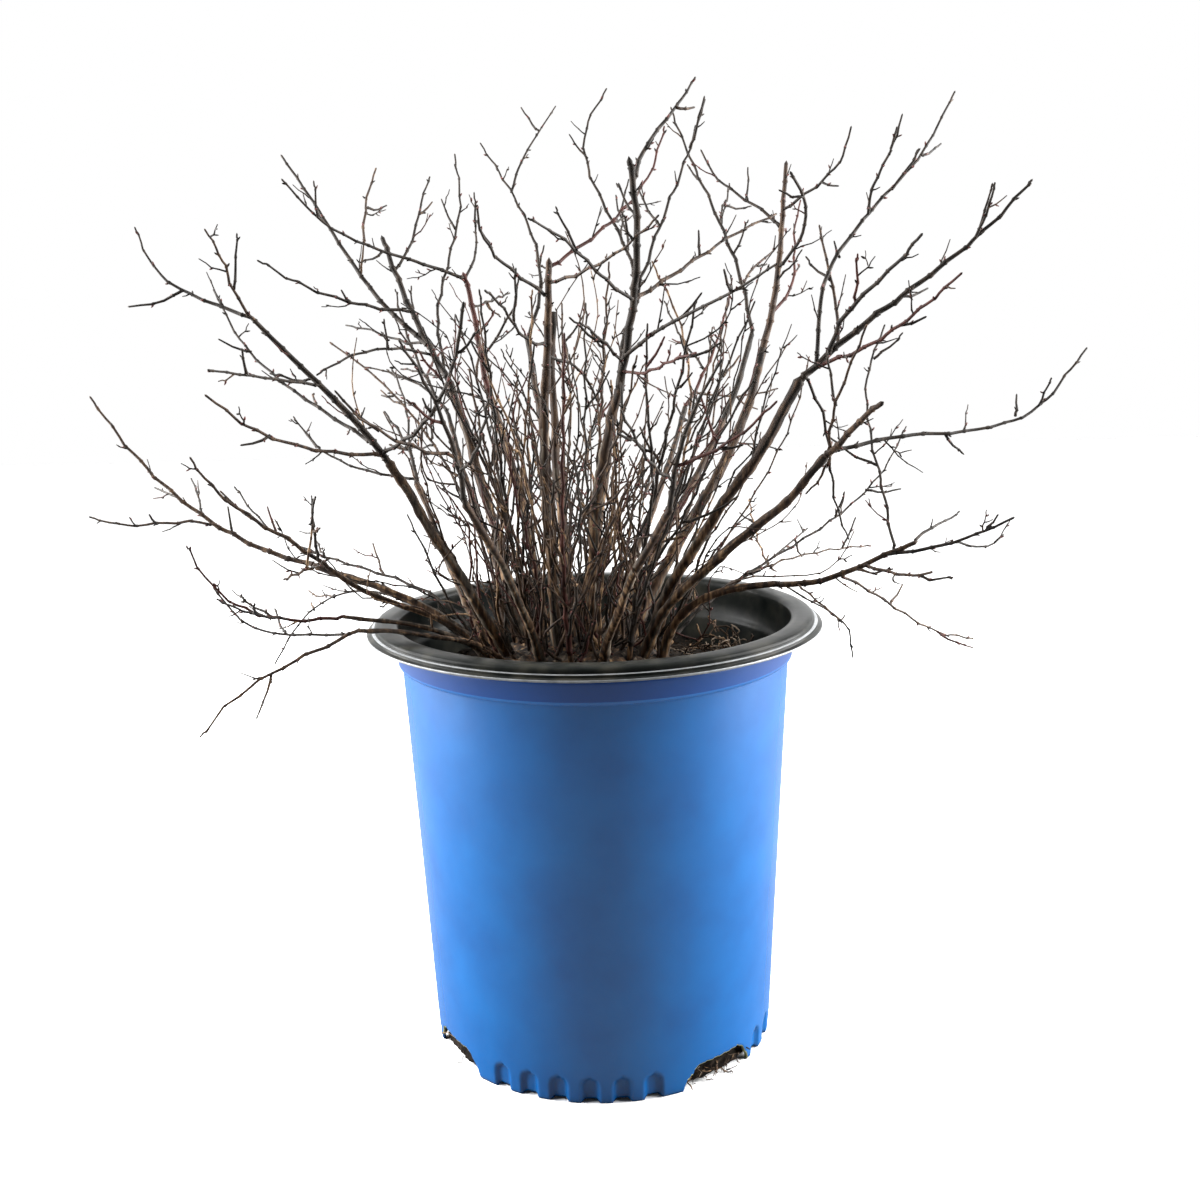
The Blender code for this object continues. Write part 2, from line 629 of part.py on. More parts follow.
def stem_plans():
    """Each stem's whole path from inside the crown to its tip, with its radii."""
    plans = {}
    rows = [(stem.name, stem.foot, stem.tip, stem.bows, stem.widths, STEM_STEPS) for stem in STEMS]
    for name, foot in FEET.items():
        leader = MASSES[name][0]
        rows.append((name, foot, leader.tip, leader.bows, leader.widths, LEADER_STEPS + 1))
    for bundle in BUNDLES:
        rows.append((bundle.name, bundle.foot, bundle.tip, *BUNDLE_LEADER, LEADER_STEPS))
    for name, (x, y), tip, bows, widths, steps in rows:
        foot = (x, y, crown_height(x, y) - FOOT_SINK)
        path = limb_path(foot, tip, bows, steps)
        lengths = [path_length(path[:k + 1]) for k in range(len(path))]
        radii = taper(widths, len(path))
        flared = [r * (1 + FOOT_FLARE * math.exp(-s / FOOT_FLARE_LENGTH)) for r, s in zip(radii, lengths)]
        plans[name] = (path, flared)
    return plans


def radius_at(path, radii, length):
    gone = 0.0
    for k in range(len(path) - 1):
        step = (path[k + 1] - path[k]).length
        if length <= gone + step or k == len(path) - 2:
            share = min(max((length - gone) / step, 0), 1)
            return radii[k] + (radii[k + 1] - radii[k]) * share
        gone += step


def split_plan(path, radii):
    """The stub that stays on the crown, and the free limb beyond the gap."""
    total = path_length(path)
    parts = []
    for start, end in ((0, STUB_LENGTH), (STUB_LENGTH + GAP, total)):
        stretch = cut_path(path, start, end)
        marks = [start + path_length(stretch[:k + 1]) for k in range(len(stretch))]
        parts.append((stretch, [radius_at(path, radii, mark) for mark in marks]))
    return parts


def join(name, base, collection, finish):
    """One Boolean union of the base and everything in the collection."""
    union = base.modifiers.new("join", "BOOLEAN")
    union.operation = "UNION"
    union.operand_type = "COLLECTION"
    union.collection = collection
    union.solver = "MANIFOLD"
    apply_modifiers(base)
    for item in list(collection.objects):
        bpy.data.objects.remove(item, do_unlink=True)
    bpy.data.collections.remove(collection)
    base.name = name
    base.data.materials.clear()
    base.data.materials.append(finish)
    return base


def make_crown(stubs, finish):
    """The woody crown, with the first stretch of every stem grown onto it."""
    points = []
    for k in range(CROWN_COLUMNS):
        x, y, _ = around(1, 360 * k / CROWN_COLUMNS, 0)
        place = (CROWN_CENTRE[0] + CROWN_HALF[0] * x, CROWN_CENTRE[1] + CROWN_HALF[1] * y)
        points.append((*place, SOIL_MIDDLE + GAP))
    for share in CROWN_RINGS:
        for k in range(CROWN_COLUMNS):
            x, y, _ = around(share, 360 * k / CROWN_COLUMNS, 0)
            place = (CROWN_CENTRE[0] + CROWN_HALF[0] * x, CROWN_CENTRE[1] + CROWN_HALF[1] * y)
            points.append((*place, crown_height(*place)))
    points.append((*CROWN_CENTRE, crown_height(*CROWN_CENTRE)))
    base = mesh_object("crown", points, mound_faces(CROWN_COLUMNS, len(CROWN_RINGS)))
    collection = bpy.data.collections.new("stubs")
    bpy.context.scene.collection.children.link(collection)
    for k, (path, radii) in enumerate(stubs):
        sides = STEM_SIDES if radii[0] > SLIM_RADIUS else 4
        tube(f"stub_{k}", path, radii, sides, None, collection, roll=STUB_ROLL * k)
    return join("crown", base, collection, finish)


def bundle_shoots(bundle, leader, rng):
    """Slim shoots that leave the bundle's stem low down and end at its height or under."""
    shoots = []
    low, high = BUNDLE_ROOTS
    for k in range(bundle.shoots):
        start, _ = point_at(leader, low + (high - low) * k / bundle.shoots)
        turn = GOLDEN_ANGLE * k + rng.uniform(-20, 20)
        x, y, _ = around(bundle.spread * rng.uniform(*BUNDLE_REACH), turn, 0)
        end = Vector(bundle.tip) + Vector((x, y, rng.uniform(*BUNDLE_RISE)))
        bows = (rng.uniform(-BUNDLE_BOW, BUNDLE_BOW), rng.uniform(-BUNDLE_BOW, BUNDLE_BOW))
        shoots.append(limb_path(start, end, bows, SHOOT_STEPS))
    return shoots


def twig_from(path, share, turn, rng):
    """One side twig: it leaves at an angle and lifts towards the light at its elbow."""
    root, axis = point_at(path, share)
    first, second = across(axis)
    angle = math.radians(rng.uniform(*TWIG_ANGLES))
    out = first * math.cos(turn) + second * math.sin(turn)
    heading = (axis * math.cos(angle) + out * math.sin(angle)).normalized()
    low, high = TWIG_LENGTHS
    reach = low + (high - low) * rng.random() * (1 - TWIG_SHORTENING * share)
    lifted = (heading + Vector((0, 0, TWIG_LIFT))).normalized()
    elbow = root + heading * TWIG_ELBOW * reach
    return [root, elbow, elbow + lifted * (1 - TWIG_ELBOW) * reach]


def side_twigs(limbs, rng):
    """The side twigs of a mass, spaced along its shoots and turned by the golden angle."""
    low, high = TWIG_ZONE
    for path, _ in list(limbs):
        count = int((high - low) * path_length(path) / TWIG_SPACING)
        turn = rng.uniform(0, 2 * math.pi)
        for k in range(count):
            share = low + (high - low) * (k + rng.uniform(0.2, 0.8)) / count
            turn += math.radians(GOLDEN_ANGLE)
            yield twig_from(path, share, turn, rng)


def crown_box():
    """The corners that no twig leaves: those of the listed tips."""
    tips = [shoot.tip for mass in MASSES.values() for shoot in mass]
    return [(min(tip[k] for tip in tips), max(tip[k] for tip in tips)) for k in range(3)]


def shoot_start(row, stem, limbs):
    """Where a shoot begins: clear of the tip of its stem, or on the limb that it leaves."""
    if row.leaves is None:
        return stem[-1] + (stem[-1] - stem[-2]).normalized() * GAP
    return point_at(limbs[row.leaves][0], row.share)[0]


def plan_masses(plans, space):
    """The listed shoots of every mass, each as a path with its radii."""
    shoots = {}
    for name, rows in MASSES.items():
        stem = plans[name]
        shoots[name] = []
        for row in rows:
            if row.leaves is None and name in FEET:
                path, radii = split_plan(*stem)[1]
            else:
                steps = LEADER_STEPS if row.leaves is None else SHOOT_STEPS
                start = shoot_start(row, stem[0], shoots[name])
                path = limb_path(start, row.tip, row.bows, steps)
                radii = taper(row.widths, len(path))
            shoots[name].append((path, radii))
            space.add(name, path, radii)
    return shoots


def is_free(name, path, radii, space):
    """Whether a limb stays clear of the limbs of other masses, the stems, the pot and the mix."""
    if space.clearance({name}, path, radii) <= LIMB_CLEARANCE:
        return False
    return pot_clearance(path, max(radii)) > GAP


def plan_bundles(plans, space, shoots, rng):
    for bundle in BUNDLES:
        leader, radii = split_plan(*plans[bundle.name])[1]
        shoots[bundle.name] = [(leader, radii)]
        space.add(bundle.name, leader, radii)
        for path in bundle_shoots(bundle, leader, rng):
            radii = taper(BUNDLE_WIDTHS, len(path))
            if is_free(bundle.name, path, radii, space):
                shoots[bundle.name].append((path, radii))
                space.add(bundle.name, path, radii)


def add_side_twigs(space, shoots):
    """Side twigs on every mass, skipped where they leave the crown or touch another limb."""
    box = crown_box()
    for number, (name, limbs) in enumerate(shoots.items()):
        rng = random.Random(SEED * 1000 + number)
        for path in side_twigs(limbs, rng):
            radii = taper(TWIG_WIDTHS, len(path))
            inside = all(low <= value <= high for value, (low, high) in zip(path[-1], box))
            if inside and is_free(name, path, radii, space):
                limbs.append((path, radii))
                space.add(name, path, radii)


def make_mass(name, limbs, heading, finish):
    collection = bpy.data.collections.new(f"{name}_limbs")
    bpy.context.scene.collection.children.link(collection)
    path, radii = limbs[0]
    base = tube(name, path, radii, 4 if radii[0] > SLIM_LEADER else 3, heading=heading)
    for k, (path, radii) in enumerate(limbs[1:]):
        sunk = [min(radii[0], SUNK_RADIUS), *radii[1:]]
        tube(f"{name}_{k}", path, sunk, 3, None, collection, roll=TWIG_ROLL * (k + 1))
    return join(f"twigs_{name}", base, collection, finish)


def has_stem(name):
    """Whether a mass grows on from the tip of a stem, and not straight from the crown."""
    return any(name == stem.name for stem in STEMS)


def plan_limbs():
    """Every limb of the plant, planned before any is made, so that all stay clear."""
    plans = stem_plans()
    space = Space()
    for name, (path, radii) in plans.items():
        stub, limb = split_plan(path, radii)
        space.add("crown", *stub)
        if has_stem(name):
            space.add(f"stem_{name}", *limb)
    shoots = plan_masses(plans, space)
    plan_bundles(plans, space, shoots, random.Random(SEED))
    add_side_twigs(space, shoots)
    return plans, space, shoots


def build():
    clear_scene()
    bark = material("bark", BARK, 0.85)
    twig_bark = material("twig_bark", TWIG_BARK, 0.8)
    make_pot(material("pot_blue", POT_BLUE, 0.45))
    make_soil(material("potting_mix", POTTING_MIX, 0.95))
    plans, _, shoots = plan_limbs()
    make_crown([split_plan(*plan)[0] for plan in plans.values()], bark)
    for name, plan in plans.items():
        if has_stem(name):
            tube(f"stem_{name}", *split_plan(*plan)[1], STEM_SIDES, bark).data.shade_smooth()
    for name, limbs in shoots.items():
        path = plans[name][0]
        heading = path[-1] - path[-2] if has_stem(name) else None
        make_mass(name, limbs, heading, twig_bark)


build()
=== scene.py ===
# %% [markdown]
# # A spirea in winter, in its nursery pot
# The plant is a bare shrub: a woody crown that many slim stems leave, and twigs that grow finer and
# finer from them. The measured model already holds the pot, the crown, the stems and the main twigs as
# plain solids. Here each of them gets its real surface, and the twigs are grown on to their finest ends.
# All lengths in this lesson are millimetres, turned into metres as each mesh is made. Every random
# draw has a seed, so the same plant grows each time.

# %% Load the measured model
import math
import random
from collections import namedtuple

import bpy
import numpy as np
from mathutils import Matrix, Vector, noise


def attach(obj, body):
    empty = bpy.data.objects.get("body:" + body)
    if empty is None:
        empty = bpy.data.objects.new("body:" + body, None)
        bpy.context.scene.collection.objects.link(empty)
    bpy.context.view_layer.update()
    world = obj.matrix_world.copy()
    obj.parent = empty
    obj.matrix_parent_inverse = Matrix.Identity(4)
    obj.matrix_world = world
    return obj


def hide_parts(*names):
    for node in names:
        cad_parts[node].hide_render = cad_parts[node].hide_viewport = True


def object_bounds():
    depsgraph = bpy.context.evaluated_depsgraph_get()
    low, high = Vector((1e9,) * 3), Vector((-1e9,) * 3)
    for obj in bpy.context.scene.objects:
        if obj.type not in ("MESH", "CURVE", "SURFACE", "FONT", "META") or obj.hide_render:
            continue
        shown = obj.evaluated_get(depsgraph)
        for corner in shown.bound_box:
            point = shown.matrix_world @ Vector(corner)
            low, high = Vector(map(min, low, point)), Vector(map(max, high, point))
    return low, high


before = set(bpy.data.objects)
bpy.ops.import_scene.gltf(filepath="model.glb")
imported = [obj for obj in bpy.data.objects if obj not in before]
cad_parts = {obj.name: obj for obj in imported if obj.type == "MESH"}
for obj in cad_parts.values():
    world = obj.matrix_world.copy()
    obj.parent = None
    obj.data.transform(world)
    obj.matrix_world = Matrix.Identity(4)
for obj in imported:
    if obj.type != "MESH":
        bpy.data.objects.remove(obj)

MM = 0.001
measured_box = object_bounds()
print("nodes in the measured model:", len(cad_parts))

# %% [markdown]
# ## The camera
# The place and the tilt of a camera can be worked out from the ellipses that a round pot shows: how
# flat the lip and the foot look gives the height, and how much smaller the foot looks gives the
# distance. A small roll is left in, because the camera was not quite level.

# %% Place the camera
CAMERA_PLACE = (0.0, -709.8, 384.6)
CAMERA_PITCH, CAMERA_YAW, CAMERA_ROLL = (math.radians(angle) for angle in (11.985, 0.252, -1.402))
CAMERA_LENS = 41.89
CAMERA_SENSOR = 36.0


def make_camera():
    data = bpy.data.cameras.new("front_camera")
    data.lens = CAMERA_LENS
    data.sensor_width = CAMERA_SENSOR
    camera = bpy.data.objects.new("front_camera", data)
    bpy.context.scene.collection.objects.link(camera)
    level = math.cos(CAMERA_PITCH)
    ahead = Vector((math.sin(CAMERA_YAW) * level, math.cos(CAMERA_YAW) * level, -math.sin(CAMERA_PITCH)))
    right = ahead.cross(Vector((0, 0, 1))).normalized()
    up = right.cross(ahead)
    cosine, sine = math.cos(CAMERA_ROLL), math.sin(CAMERA_ROLL)
    axes = Matrix((right * cosine + up * sine, up * cosine - right * sine, -ahead)).transposed()
    camera.matrix_world = Matrix.Translation(Vector(CAMERA_PLACE) * MM) @ axes.to_4x4()
    bpy.context.scene.camera = camera


make_camera()
print("camera height:", CAMERA_PLACE[2], "mm")

# %% [markdown]
# ## The light tent
# The plant stood in a white tent: its walls and top glow evenly, and the side with the camera is dark.
# The pot shows this, with a front much darker than its edges. Many lamps could do it, but one world
# shader is simpler. How bright it is follows the direction of a ray: dim in front, bright to the sides
# and behind. Rays that go straight to the camera see plain white, so the background stays white.
# Each step below is a place, 0 for in front and 1 for behind, and the share of the light there.

# %% Hang the light tent
TENT_STRENGTH = 2.2
DIRECTION_STEPS = ((0.0, 0.02), (0.38, 0.03), (0.50, 0.42), (0.60, 1.0), (1.0, 1.0))


def split_by_eye(tree, lighting, seen, output):
    """Sends one shader to the camera's own rays, and the other to all the rest."""
    path = tree.nodes.new("ShaderNodeLightPath")
    mix = tree.nodes.new("ShaderNodeMixShader")
    tree.links.new(path.outputs["Is Camera Ray"], mix.inputs[0])
    tree.links.new(lighting.outputs[0], mix.inputs[1])
    tree.links.new(seen.outputs[0], mix.inputs[2])
    tree.links.new(mix.outputs[0], output.inputs["Surface"])


def glow_by_direction(tree):
    """A background whose brightness follows how far behind the plant a ray comes from."""
    nodes, links = tree.nodes, tree.links
    direction = nodes.new("ShaderNodeTexCoord")
    split = nodes.new("ShaderNodeSeparateXYZ")
    links.new(direction.outputs["Generated"], split.inputs[0])
    to_share = nodes.new("ShaderNodeMath")
    to_share.operation = "MULTIPLY_ADD"
    to_share.inputs[1].default_value = 0.5
    to_share.inputs[2].default_value = 0.5
    links.new(split.outputs["Y"], to_share.inputs[0])
    ramp = nodes.new("ShaderNodeValToRGB")
    steps = ramp.color_ramp.elements
    for place, _ in DIRECTION_STEPS[1:-1]:
        steps.new(place)
    for step, (place, level) in zip(steps, DIRECTION_STEPS):
        step.position = place
        step.color = (level, level, level, 1)
    links.new(to_share.outputs[0], ramp.inputs[0])
    glow = nodes.new("ShaderNodeBackground")
    glow.inputs["Strength"].default_value = TENT_STRENGTH
    links.new(ramp.outputs[0], glow.inputs["Color"])
    return glow


def make_tent():
    world = bpy.data.worlds.new("light_tent")
    bpy.context.scene.world = world
    world.use_nodes = True
    tree = world.node_tree
    tree.nodes.clear()
    plain = tree.nodes.new("ShaderNodeBackground")
    plain.inputs["Color"].default_value = (1, 1, 1, 1)
    plain.inputs["Strength"].default_value = 1.0
    output = tree.nodes.new("ShaderNodeOutputWorld")
    split_by_eye(tree, glow_by_direction(tree), plain, output)


make_tent()
bpy.context.scene.view_settings.view_transform = "Standard"
print("tent strength:", TENT_STRENGTH)

# %% [markdown]
# ## The floor
# The tent's floor is one large pale plane. One plain white floor would do, but it would throw so much
# light back up that the front of the pot turns hazy. So the camera sees a pale floor, and the light
# meets a darker one.

# %% Lay the floor
FLOOR_SIZE = 6.0
FLOOR_SEEN = 0.95
FLOOR_BOUNCED = 0.17


def diffuse(tree, level):
    shader = tree.nodes.new("ShaderNodeBsdfDiffuse")
    shader.inputs["Color"].default_value = (level, level, level, 1)
    return shader


def make_floor():
    half = FLOOR_SIZE / 2
    mesh = bpy.data.meshes.new("studio_floor")
    mesh.from_pydata([(-half, -half, 0), (half, -half, 0), (half, half, 0), (-half, half, 0)], [],
                     [(0, 1, 2, 3)])
    floor = bpy.data.objects.new("studio_floor", mesh)
    bpy.context.scene.collection.objects.link(floor)
    paint = bpy.data.materials.new("floor_white")
    paint.use_nodes = True
    tree = paint.node_tree
    tree.nodes.clear()
    output = tree.nodes.new("ShaderNodeOutputMaterial")
    split_by_eye(tree, diffuse(tree, FLOOR_BOUNCED), diffuse(tree, FLOOR_SEEN), output)
    mesh.materials.append(paint)


make_floor()
print("floor:", FLOOR_SIZE, "m square")

# %% [markdown]
# ## Two softboxes
# The pot has bright sides that fade towards its front. A tall lit panel at each side and a little
# behind draws them: smooth plastic mirrors it where the wall turns away from the camera. A lamp with
# no size would leave a sharp dot there instead. The panels light the stems from both sides too, which
# shows their roundness.

# %% Stand the softboxes
SOFTBOX_SIZE = (0.9, 1.2)
SOFTBOX_POWER = 64
SOFTBOX_PLACE = (0.95, 0.08, 0.5)
SOFTBOX_AIM = (0, 0, 0.2)


def make_softboxes():
    for side in (-1, 1):
        data = bpy.data.lights.new(f"softbox_{side}", "AREA")
        data.shape = "RECTANGLE"
        data.size, data.size_y = SOFTBOX_SIZE
        data.energy = SOFTBOX_POWER
        panel = bpy.data.objects.new(data.name, data)
        panel.location = (side * SOFTBOX_PLACE[0], SOFTBOX_PLACE[1], SOFTBOX_PLACE[2])
        aim = Vector(SOFTBOX_AIM) - panel.location
        panel.rotation_euler = aim.to_track_quat("-Z", "Y").to_euler()
        panel.visible_camera = False
        bpy.context.scene.collection.objects.link(panel)


make_softboxes()
print("softboxes:", len(bpy.data.lights))

# %% [markdown]
# ## Finishes
# Bark, plastic and potting mix all vary a little over their surface. One helper makes them all: a noise
# is coloured by a ramp, and the same noise lifts and lowers the surface. An image could be wrapped
# round a limb instead, but thousands of twigs would each need unwrapping. The noise reads the place
# in space, so it needs none. Stretching its space along the height gives the streaks of bark.

# %% Write the helper for finishes
RAMP_LOW = 0.3
RAMP_HIGH = 0.7
GRAIN_DETAIL = 5
BARK_GRAIN = 420
BARK_STRETCH = 0.16
BARK_ROUGHNESS = 0.72
BARK_SHINE = 0.22
BARK_DEPTH = 0.25


def mottled(name, colours, scale, roughness, relief, stretch=1.0, shine=0.5):
    """A finish whose colour runs through the colours given, as a noise of that scale rises."""
    finish = bpy.data.materials.new(name)
    finish.use_nodes = True
    nodes, links = finish.node_tree.nodes, finish.node_tree.links
    shader = nodes["Principled BSDF"]
    shader.inputs["Roughness"].default_value = roughness
    shader.inputs["Specular IOR Level"].default_value = shine
    place = nodes.new("ShaderNodeTexCoord")
    squeeze = nodes.new("ShaderNodeMapping")
    squeeze.inputs["Scale"].default_value = (1, 1, stretch)
    links.new(place.outputs["Object"], squeeze.inputs["Vector"])
    grain = nodes.new("ShaderNodeTexNoise")
    grain.inputs["Scale"].default_value = scale
    grain.inputs["Detail"].default_value = GRAIN_DETAIL
    links.new(squeeze.outputs[0], grain.inputs["Vector"])
    ramp = nodes.new("ShaderNodeValToRGB")
    steps = ramp.color_ramp.elements
    steps[0].position, steps[1].position = RAMP_LOW, RAMP_HIGH
    for k in range(1, len(colours) - 1):
        steps.new(RAMP_LOW + (RAMP_HIGH - RAMP_LOW) * k / (len(colours) - 1))
    for step, colour in zip(steps, colours):
        step.color = (*colour, 1)
    links.new(grain.outputs["Fac"], ramp.inputs[0])
    links.new(ramp.outputs[0], shader.inputs["Base Color"])
    bump = nodes.new("ShaderNodeBump")
    bump.inputs["Strength"].default_value = 1.0
    bump.inputs["Distance"].default_value = relief * MM
    links.new(grain.outputs["Fac"], bump.inputs["Height"])
    links.new(bump.outputs[0], shader.inputs["Normal"])
    print("finish:", name)
    return finish


def bark(name, colours, relief=BARK_DEPTH):
    """Bark: dull, with streaks that run up the limb."""
    return mottled(name, colours, BARK_GRAIN, BARK_ROUGHNESS, relief, BARK_STRETCH, BARK_SHINE)


print("bark is stretched", round(1 / BARK_STRETCH, 1), "times along its height")

# %% [markdown]
# The pot is one plastic, painted in three blues: the wall's own blue, a darker painted shade on the band
# under the lip, where the flange shades it, and a paler painted highlight on the line of the step
# between them. The cut edges of the drain notches are a dull yellow green. Inside it is black, with a
# little dust, and the thin edges of the lip carry a pale grey painted highlight.

# %% Mix the finishes of the pot
POT_BLUE = mottled("pot_blue", ((0.0003, 0.068, 0.24), (0.0009, 0.092, 0.30)), 30, 0.27, 0.02, shine=0.6)
# Painted shade: a darker blue for the band under the lip, where the flange casts its shadow.
POT_PAINTED_SHADE = mottled("pot_navy", ((0.0001, 0.036, 0.18), (0.0004, 0.046, 0.21)), 30, 0.29, 0.02)
# Painted highlight: a paler blue for the line of the step, where its rounded corner catches the light.
POT_PAINTED_HIGHLIGHT = mottled("pot_sheen", ((0.003, 0.085, 0.30), (0.005, 0.11, 0.36)), 30, 0.29, 0.02, shine=0.6)
POT_EDGE = mottled("pot_cut_edge", ((0.20, 0.22, 0.09), (0.36, 0.36, 0.17)), 300, 0.5, 0.05)
BLACK_SHADES = ((0.002, 0.003, 0.003), (0.009, 0.010, 0.009), (0.026, 0.025, 0.020))
POT_BLACK = mottled("pot_black", BLACK_SHADES, 70, 0.30, 0.08, shine=0.05)
# Painted highlight: a pale grey for the thin edges of the lip's flange, where they catch the light.
LIP_PAINTED_HIGHLIGHT = mottled("lip_edge_grey", ((0.10, 0.105, 0.11), (0.20, 0.21, 0.215)), 200, 0.4, 0.02)

# %% [markdown]
# Damp mix is nearly black, and its chips are browner and paler where they have dried. Old bark is tan
# or grey with pale flecks where it peels, younger bark is brown, and the last twigs are nearly black.
# A few twigs and most of the buds are dark red.

# %% Mix the finishes of the mix and the wood
MIX_SHADES = ((0.003, 0.002, 0.002), (0.008, 0.006, 0.004), (0.025, 0.017, 0.012))
MIX_DARK = mottled("mix_dark", MIX_SHADES, 260, 0.95, 0.6, shine=0.1)
MIX_BROWN = mottled("mix_brown", ((0.012, 0.008, 0.005), (0.04, 0.025, 0.015)), 500, 0.9, 0.3, shine=0.15)
MIX_PALE = mottled("mix_pale", ((0.07, 0.05, 0.03), (0.22, 0.16, 0.11)), 500, 0.8, 0.2)
BARK_TAN = bark("bark_tan", ((0.010, 0.005, 0.003), (0.060, 0.032, 0.016), (0.27, 0.17, 0.090)), 0.4)
BARK_GREY = bark("bark_grey", ((0.010, 0.008, 0.006), (0.055, 0.042, 0.030), (0.17, 0.135, 0.100)), 0.5)
BARK_BROWN = bark("bark_brown", ((0.007, 0.004, 0.003), (0.030, 0.017, 0.010), (0.085, 0.050, 0.027)))
BARK_DARK = bark("bark_dark", ((0.004, 0.003, 0.002), (0.013, 0.009, 0.006), (0.035, 0.024, 0.016)))
TWIG_RED = bark("twig_red", ((0.014, 0.004, 0.003), (0.060, 0.016, 0.010)), 0.1)
BUD_RED = mottled("bud_red", ((0.020, 0.006, 0.004), (0.11, 0.020, 0.013)), 900, 0.6, 0.05, shine=0.3)

# %% [markdown]
# ## A mesh gatherer
# A shrub has thousands of twigs. One object for each would be slow, so every twig of a kind is
# written into one list of points and faces, and the list becomes one joined mesh. The finish of each
# face is kept with it, so a joined mesh can still be brown at its foot and dark at its tips.

# %% Gather many shapes into one mesh
def held_in_box(point):
    """A point in metres, kept inside the box of the solids."""
    low, high = measured_box
    return [min(max(value * MM, floor), roof) for value, floor, roof in zip(point, low, high)]


class Gatherer:
    """Points and faces of many small shapes, made into one mesh at the end."""

    def __init__(self, finishes):
        self.points, self.faces, self.tints = [], [], []
        self.finishes = finishes

    def add(self, points, faces, tint=0):
        """Tint is the number of one finish for all the faces, or a list with one for each."""
        base = len(self.points)
        self.points.extend(points)
        self.faces.extend([[base + k for k in face] for face in faces])
        self.tints.extend([tint] * len(faces) if isinstance(tint, int) else tint)

    def make(self, name, nodes=(), smooth=True):
        mesh = bpy.data.meshes.new(name)
        mesh.from_pydata([held_in_box(point) for point in self.points], [], self.faces)
        for finish in self.finishes:
            mesh.materials.append(finish)
        mesh.polygons.foreach_set("material_index", self.tints)
        if smooth:
            mesh.shade_smooth()
        item = bpy.data.objects.new(name, mesh)
        bpy.context.scene.collection.objects.link(item)
        if nodes:
            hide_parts(*nodes)
        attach(item, "root")
        triangles = sum(len(face) - 2 for face in self.faces)
        print(f"{name}: {triangles} triangles")


def ring_faces(rows, columns, closed=False):
    """The four-sided faces between rings of points; closed also joins the last ring to the first."""
    faces = []
    for row in range(rows if closed else rows - 1):
        low, high = row * columns, (row + 1) % rows * columns
        for k in range(columns):
            beside = (k + 1) % columns
            faces.append((low + k, low + beside, high + beside, high + k))
    return faces


print("faces of a ring of six:", len(ring_faces(2, 6)))

# %% [markdown]
# ## The pot
# A blow-moulded nursery pot has two skins that were pressed together in the mould: coloured outside,
# black inside. The wall flares evenly, steps out under the lip, and the lip is a rounded bead over a
# thin flange. It could be turned as one solid and painted, but two thin skins give a true edge between
# the colours. First come the measures that the skins share, and the section that limbs stay clear of.

# %% Measure the pot
GAP = 0.3
POT_FOOT_RADIUS = 90.2
POT_WALL_FLARE = 0.0484
POT_WALL = 1.4
POT_FLOOR = 2.0
POT_STEP_HEIGHT = 207.0
POT_STEP = 1.8
POT_LIP_HEIGHT = 227.4
POT_LIP_RADIUS = 117.5
DENT_DEPTH = 2.0


def around(radius, azimuth, height):
    """A point at an azimuth counted from the front towards the right."""
    turn = math.radians(azimuth)
    return (radius * math.sin(turn), -radius * math.cos(turn), height)


def all_round(columns):
    """Azimuths that divide a full turn evenly."""
    return [360 * k / columns for k in range(columns)]


def wall_radius(height):
    return POT_FOOT_RADIUS + POT_WALL_FLARE * height


def pot_outline():
    """The pot's section above its dents.

    It runs from the step in the wall under and over the rolled lip, past the
    step inside and down to the corner of the floor.
    """
    step_radius = wall_radius(POT_STEP_HEIGHT)
    top = POT_LIP_HEIGHT
    return (
        (step_radius, POT_STEP_HEIGHT),
        (step_radius + POT_STEP, POT_STEP_HEIGHT + 1.2),
        (104.4, top - 5.6),
        (POT_LIP_RADIUS - 0.2, top - 5.8),
        (POT_LIP_RADIUS, top - 4.6),
        (114.8, top - 4.0),
        (114.2, top - 1.8),
        (112.0, top),
        (106.8, top),
        (104.0, top - 1.4),
        (102.4, top - 8.4),
        (step_radius + POT_STEP - POT_WALL, POT_STEP_HEIGHT - 0.4),
        (step_radius - POT_WALL, POT_STEP_HEIGHT - 1.6),
        (POT_FOOT_RADIUS - DENT_DEPTH - POT_WALL, POT_FLOOR),
    )


print("pot radius at the step:", round(wall_radius(POT_STEP_HEIGHT), 1), "mm")

# %% [markdown]
# Round the foot the mould left short dents, in groups, and four drain notches between the groups let
# water out. Cutting them from a mesh would leave ragged edges. It is cleaner to write them as rules of
# the azimuth: how deep the wall is pressed in, and how high its lower edge stands.

# %% Write the rules of the foot
DENT_LOW = 3.0
DENT_HIGH = 13.5
DENT_PITCH = 10
DENT_GROUPS = ((-35, 6), (60, 5), (145, 6), (240, 5))
DENT_AZIMUTHS = [first + DENT_PITCH * k for first, count in DENT_GROUPS for k in range(count)]
DENT_HALF_ANGLE = 2.7
DENT_ROUND = 4.5
DENT_EDGE_LIFT = 1.5
NOTCH_AZIMUTHS = (40, -60, 220, 120)
NOTCH_HALF_ANGLE = 14.0
NOTCH_HEIGHT = 13.0
NOTCH_SECTION = ((0.0, 1.0), (3.0, 1.0), (10.0, 0.78), (13.0, 0.55))


def eased(value, low, high):
    """0 under low, 1 over high, and a soft step between."""
    share = min(max((value - low) / (high - low), 0), 1)
    return share * share * (3 - 2 * share)


def off_middle(azimuth, middles):
    return min(abs((azimuth - middle + 180) % 360 - 180) for middle in middles)


def dent_at(azimuth, height):
    """How deep the foot is pressed in: round-topped dents with soft sides."""
    over = max(height - (DENT_HIGH - DENT_ROUND), 0) / DENT_ROUND
    if over >= 1:
        return 0.0
    half = DENT_HALF_ANGLE * math.sqrt(1 - over * over)
    return DENT_DEPTH * (1 - eased(off_middle(azimuth, DENT_AZIMUTHS), half - 1.0, half + 0.5))


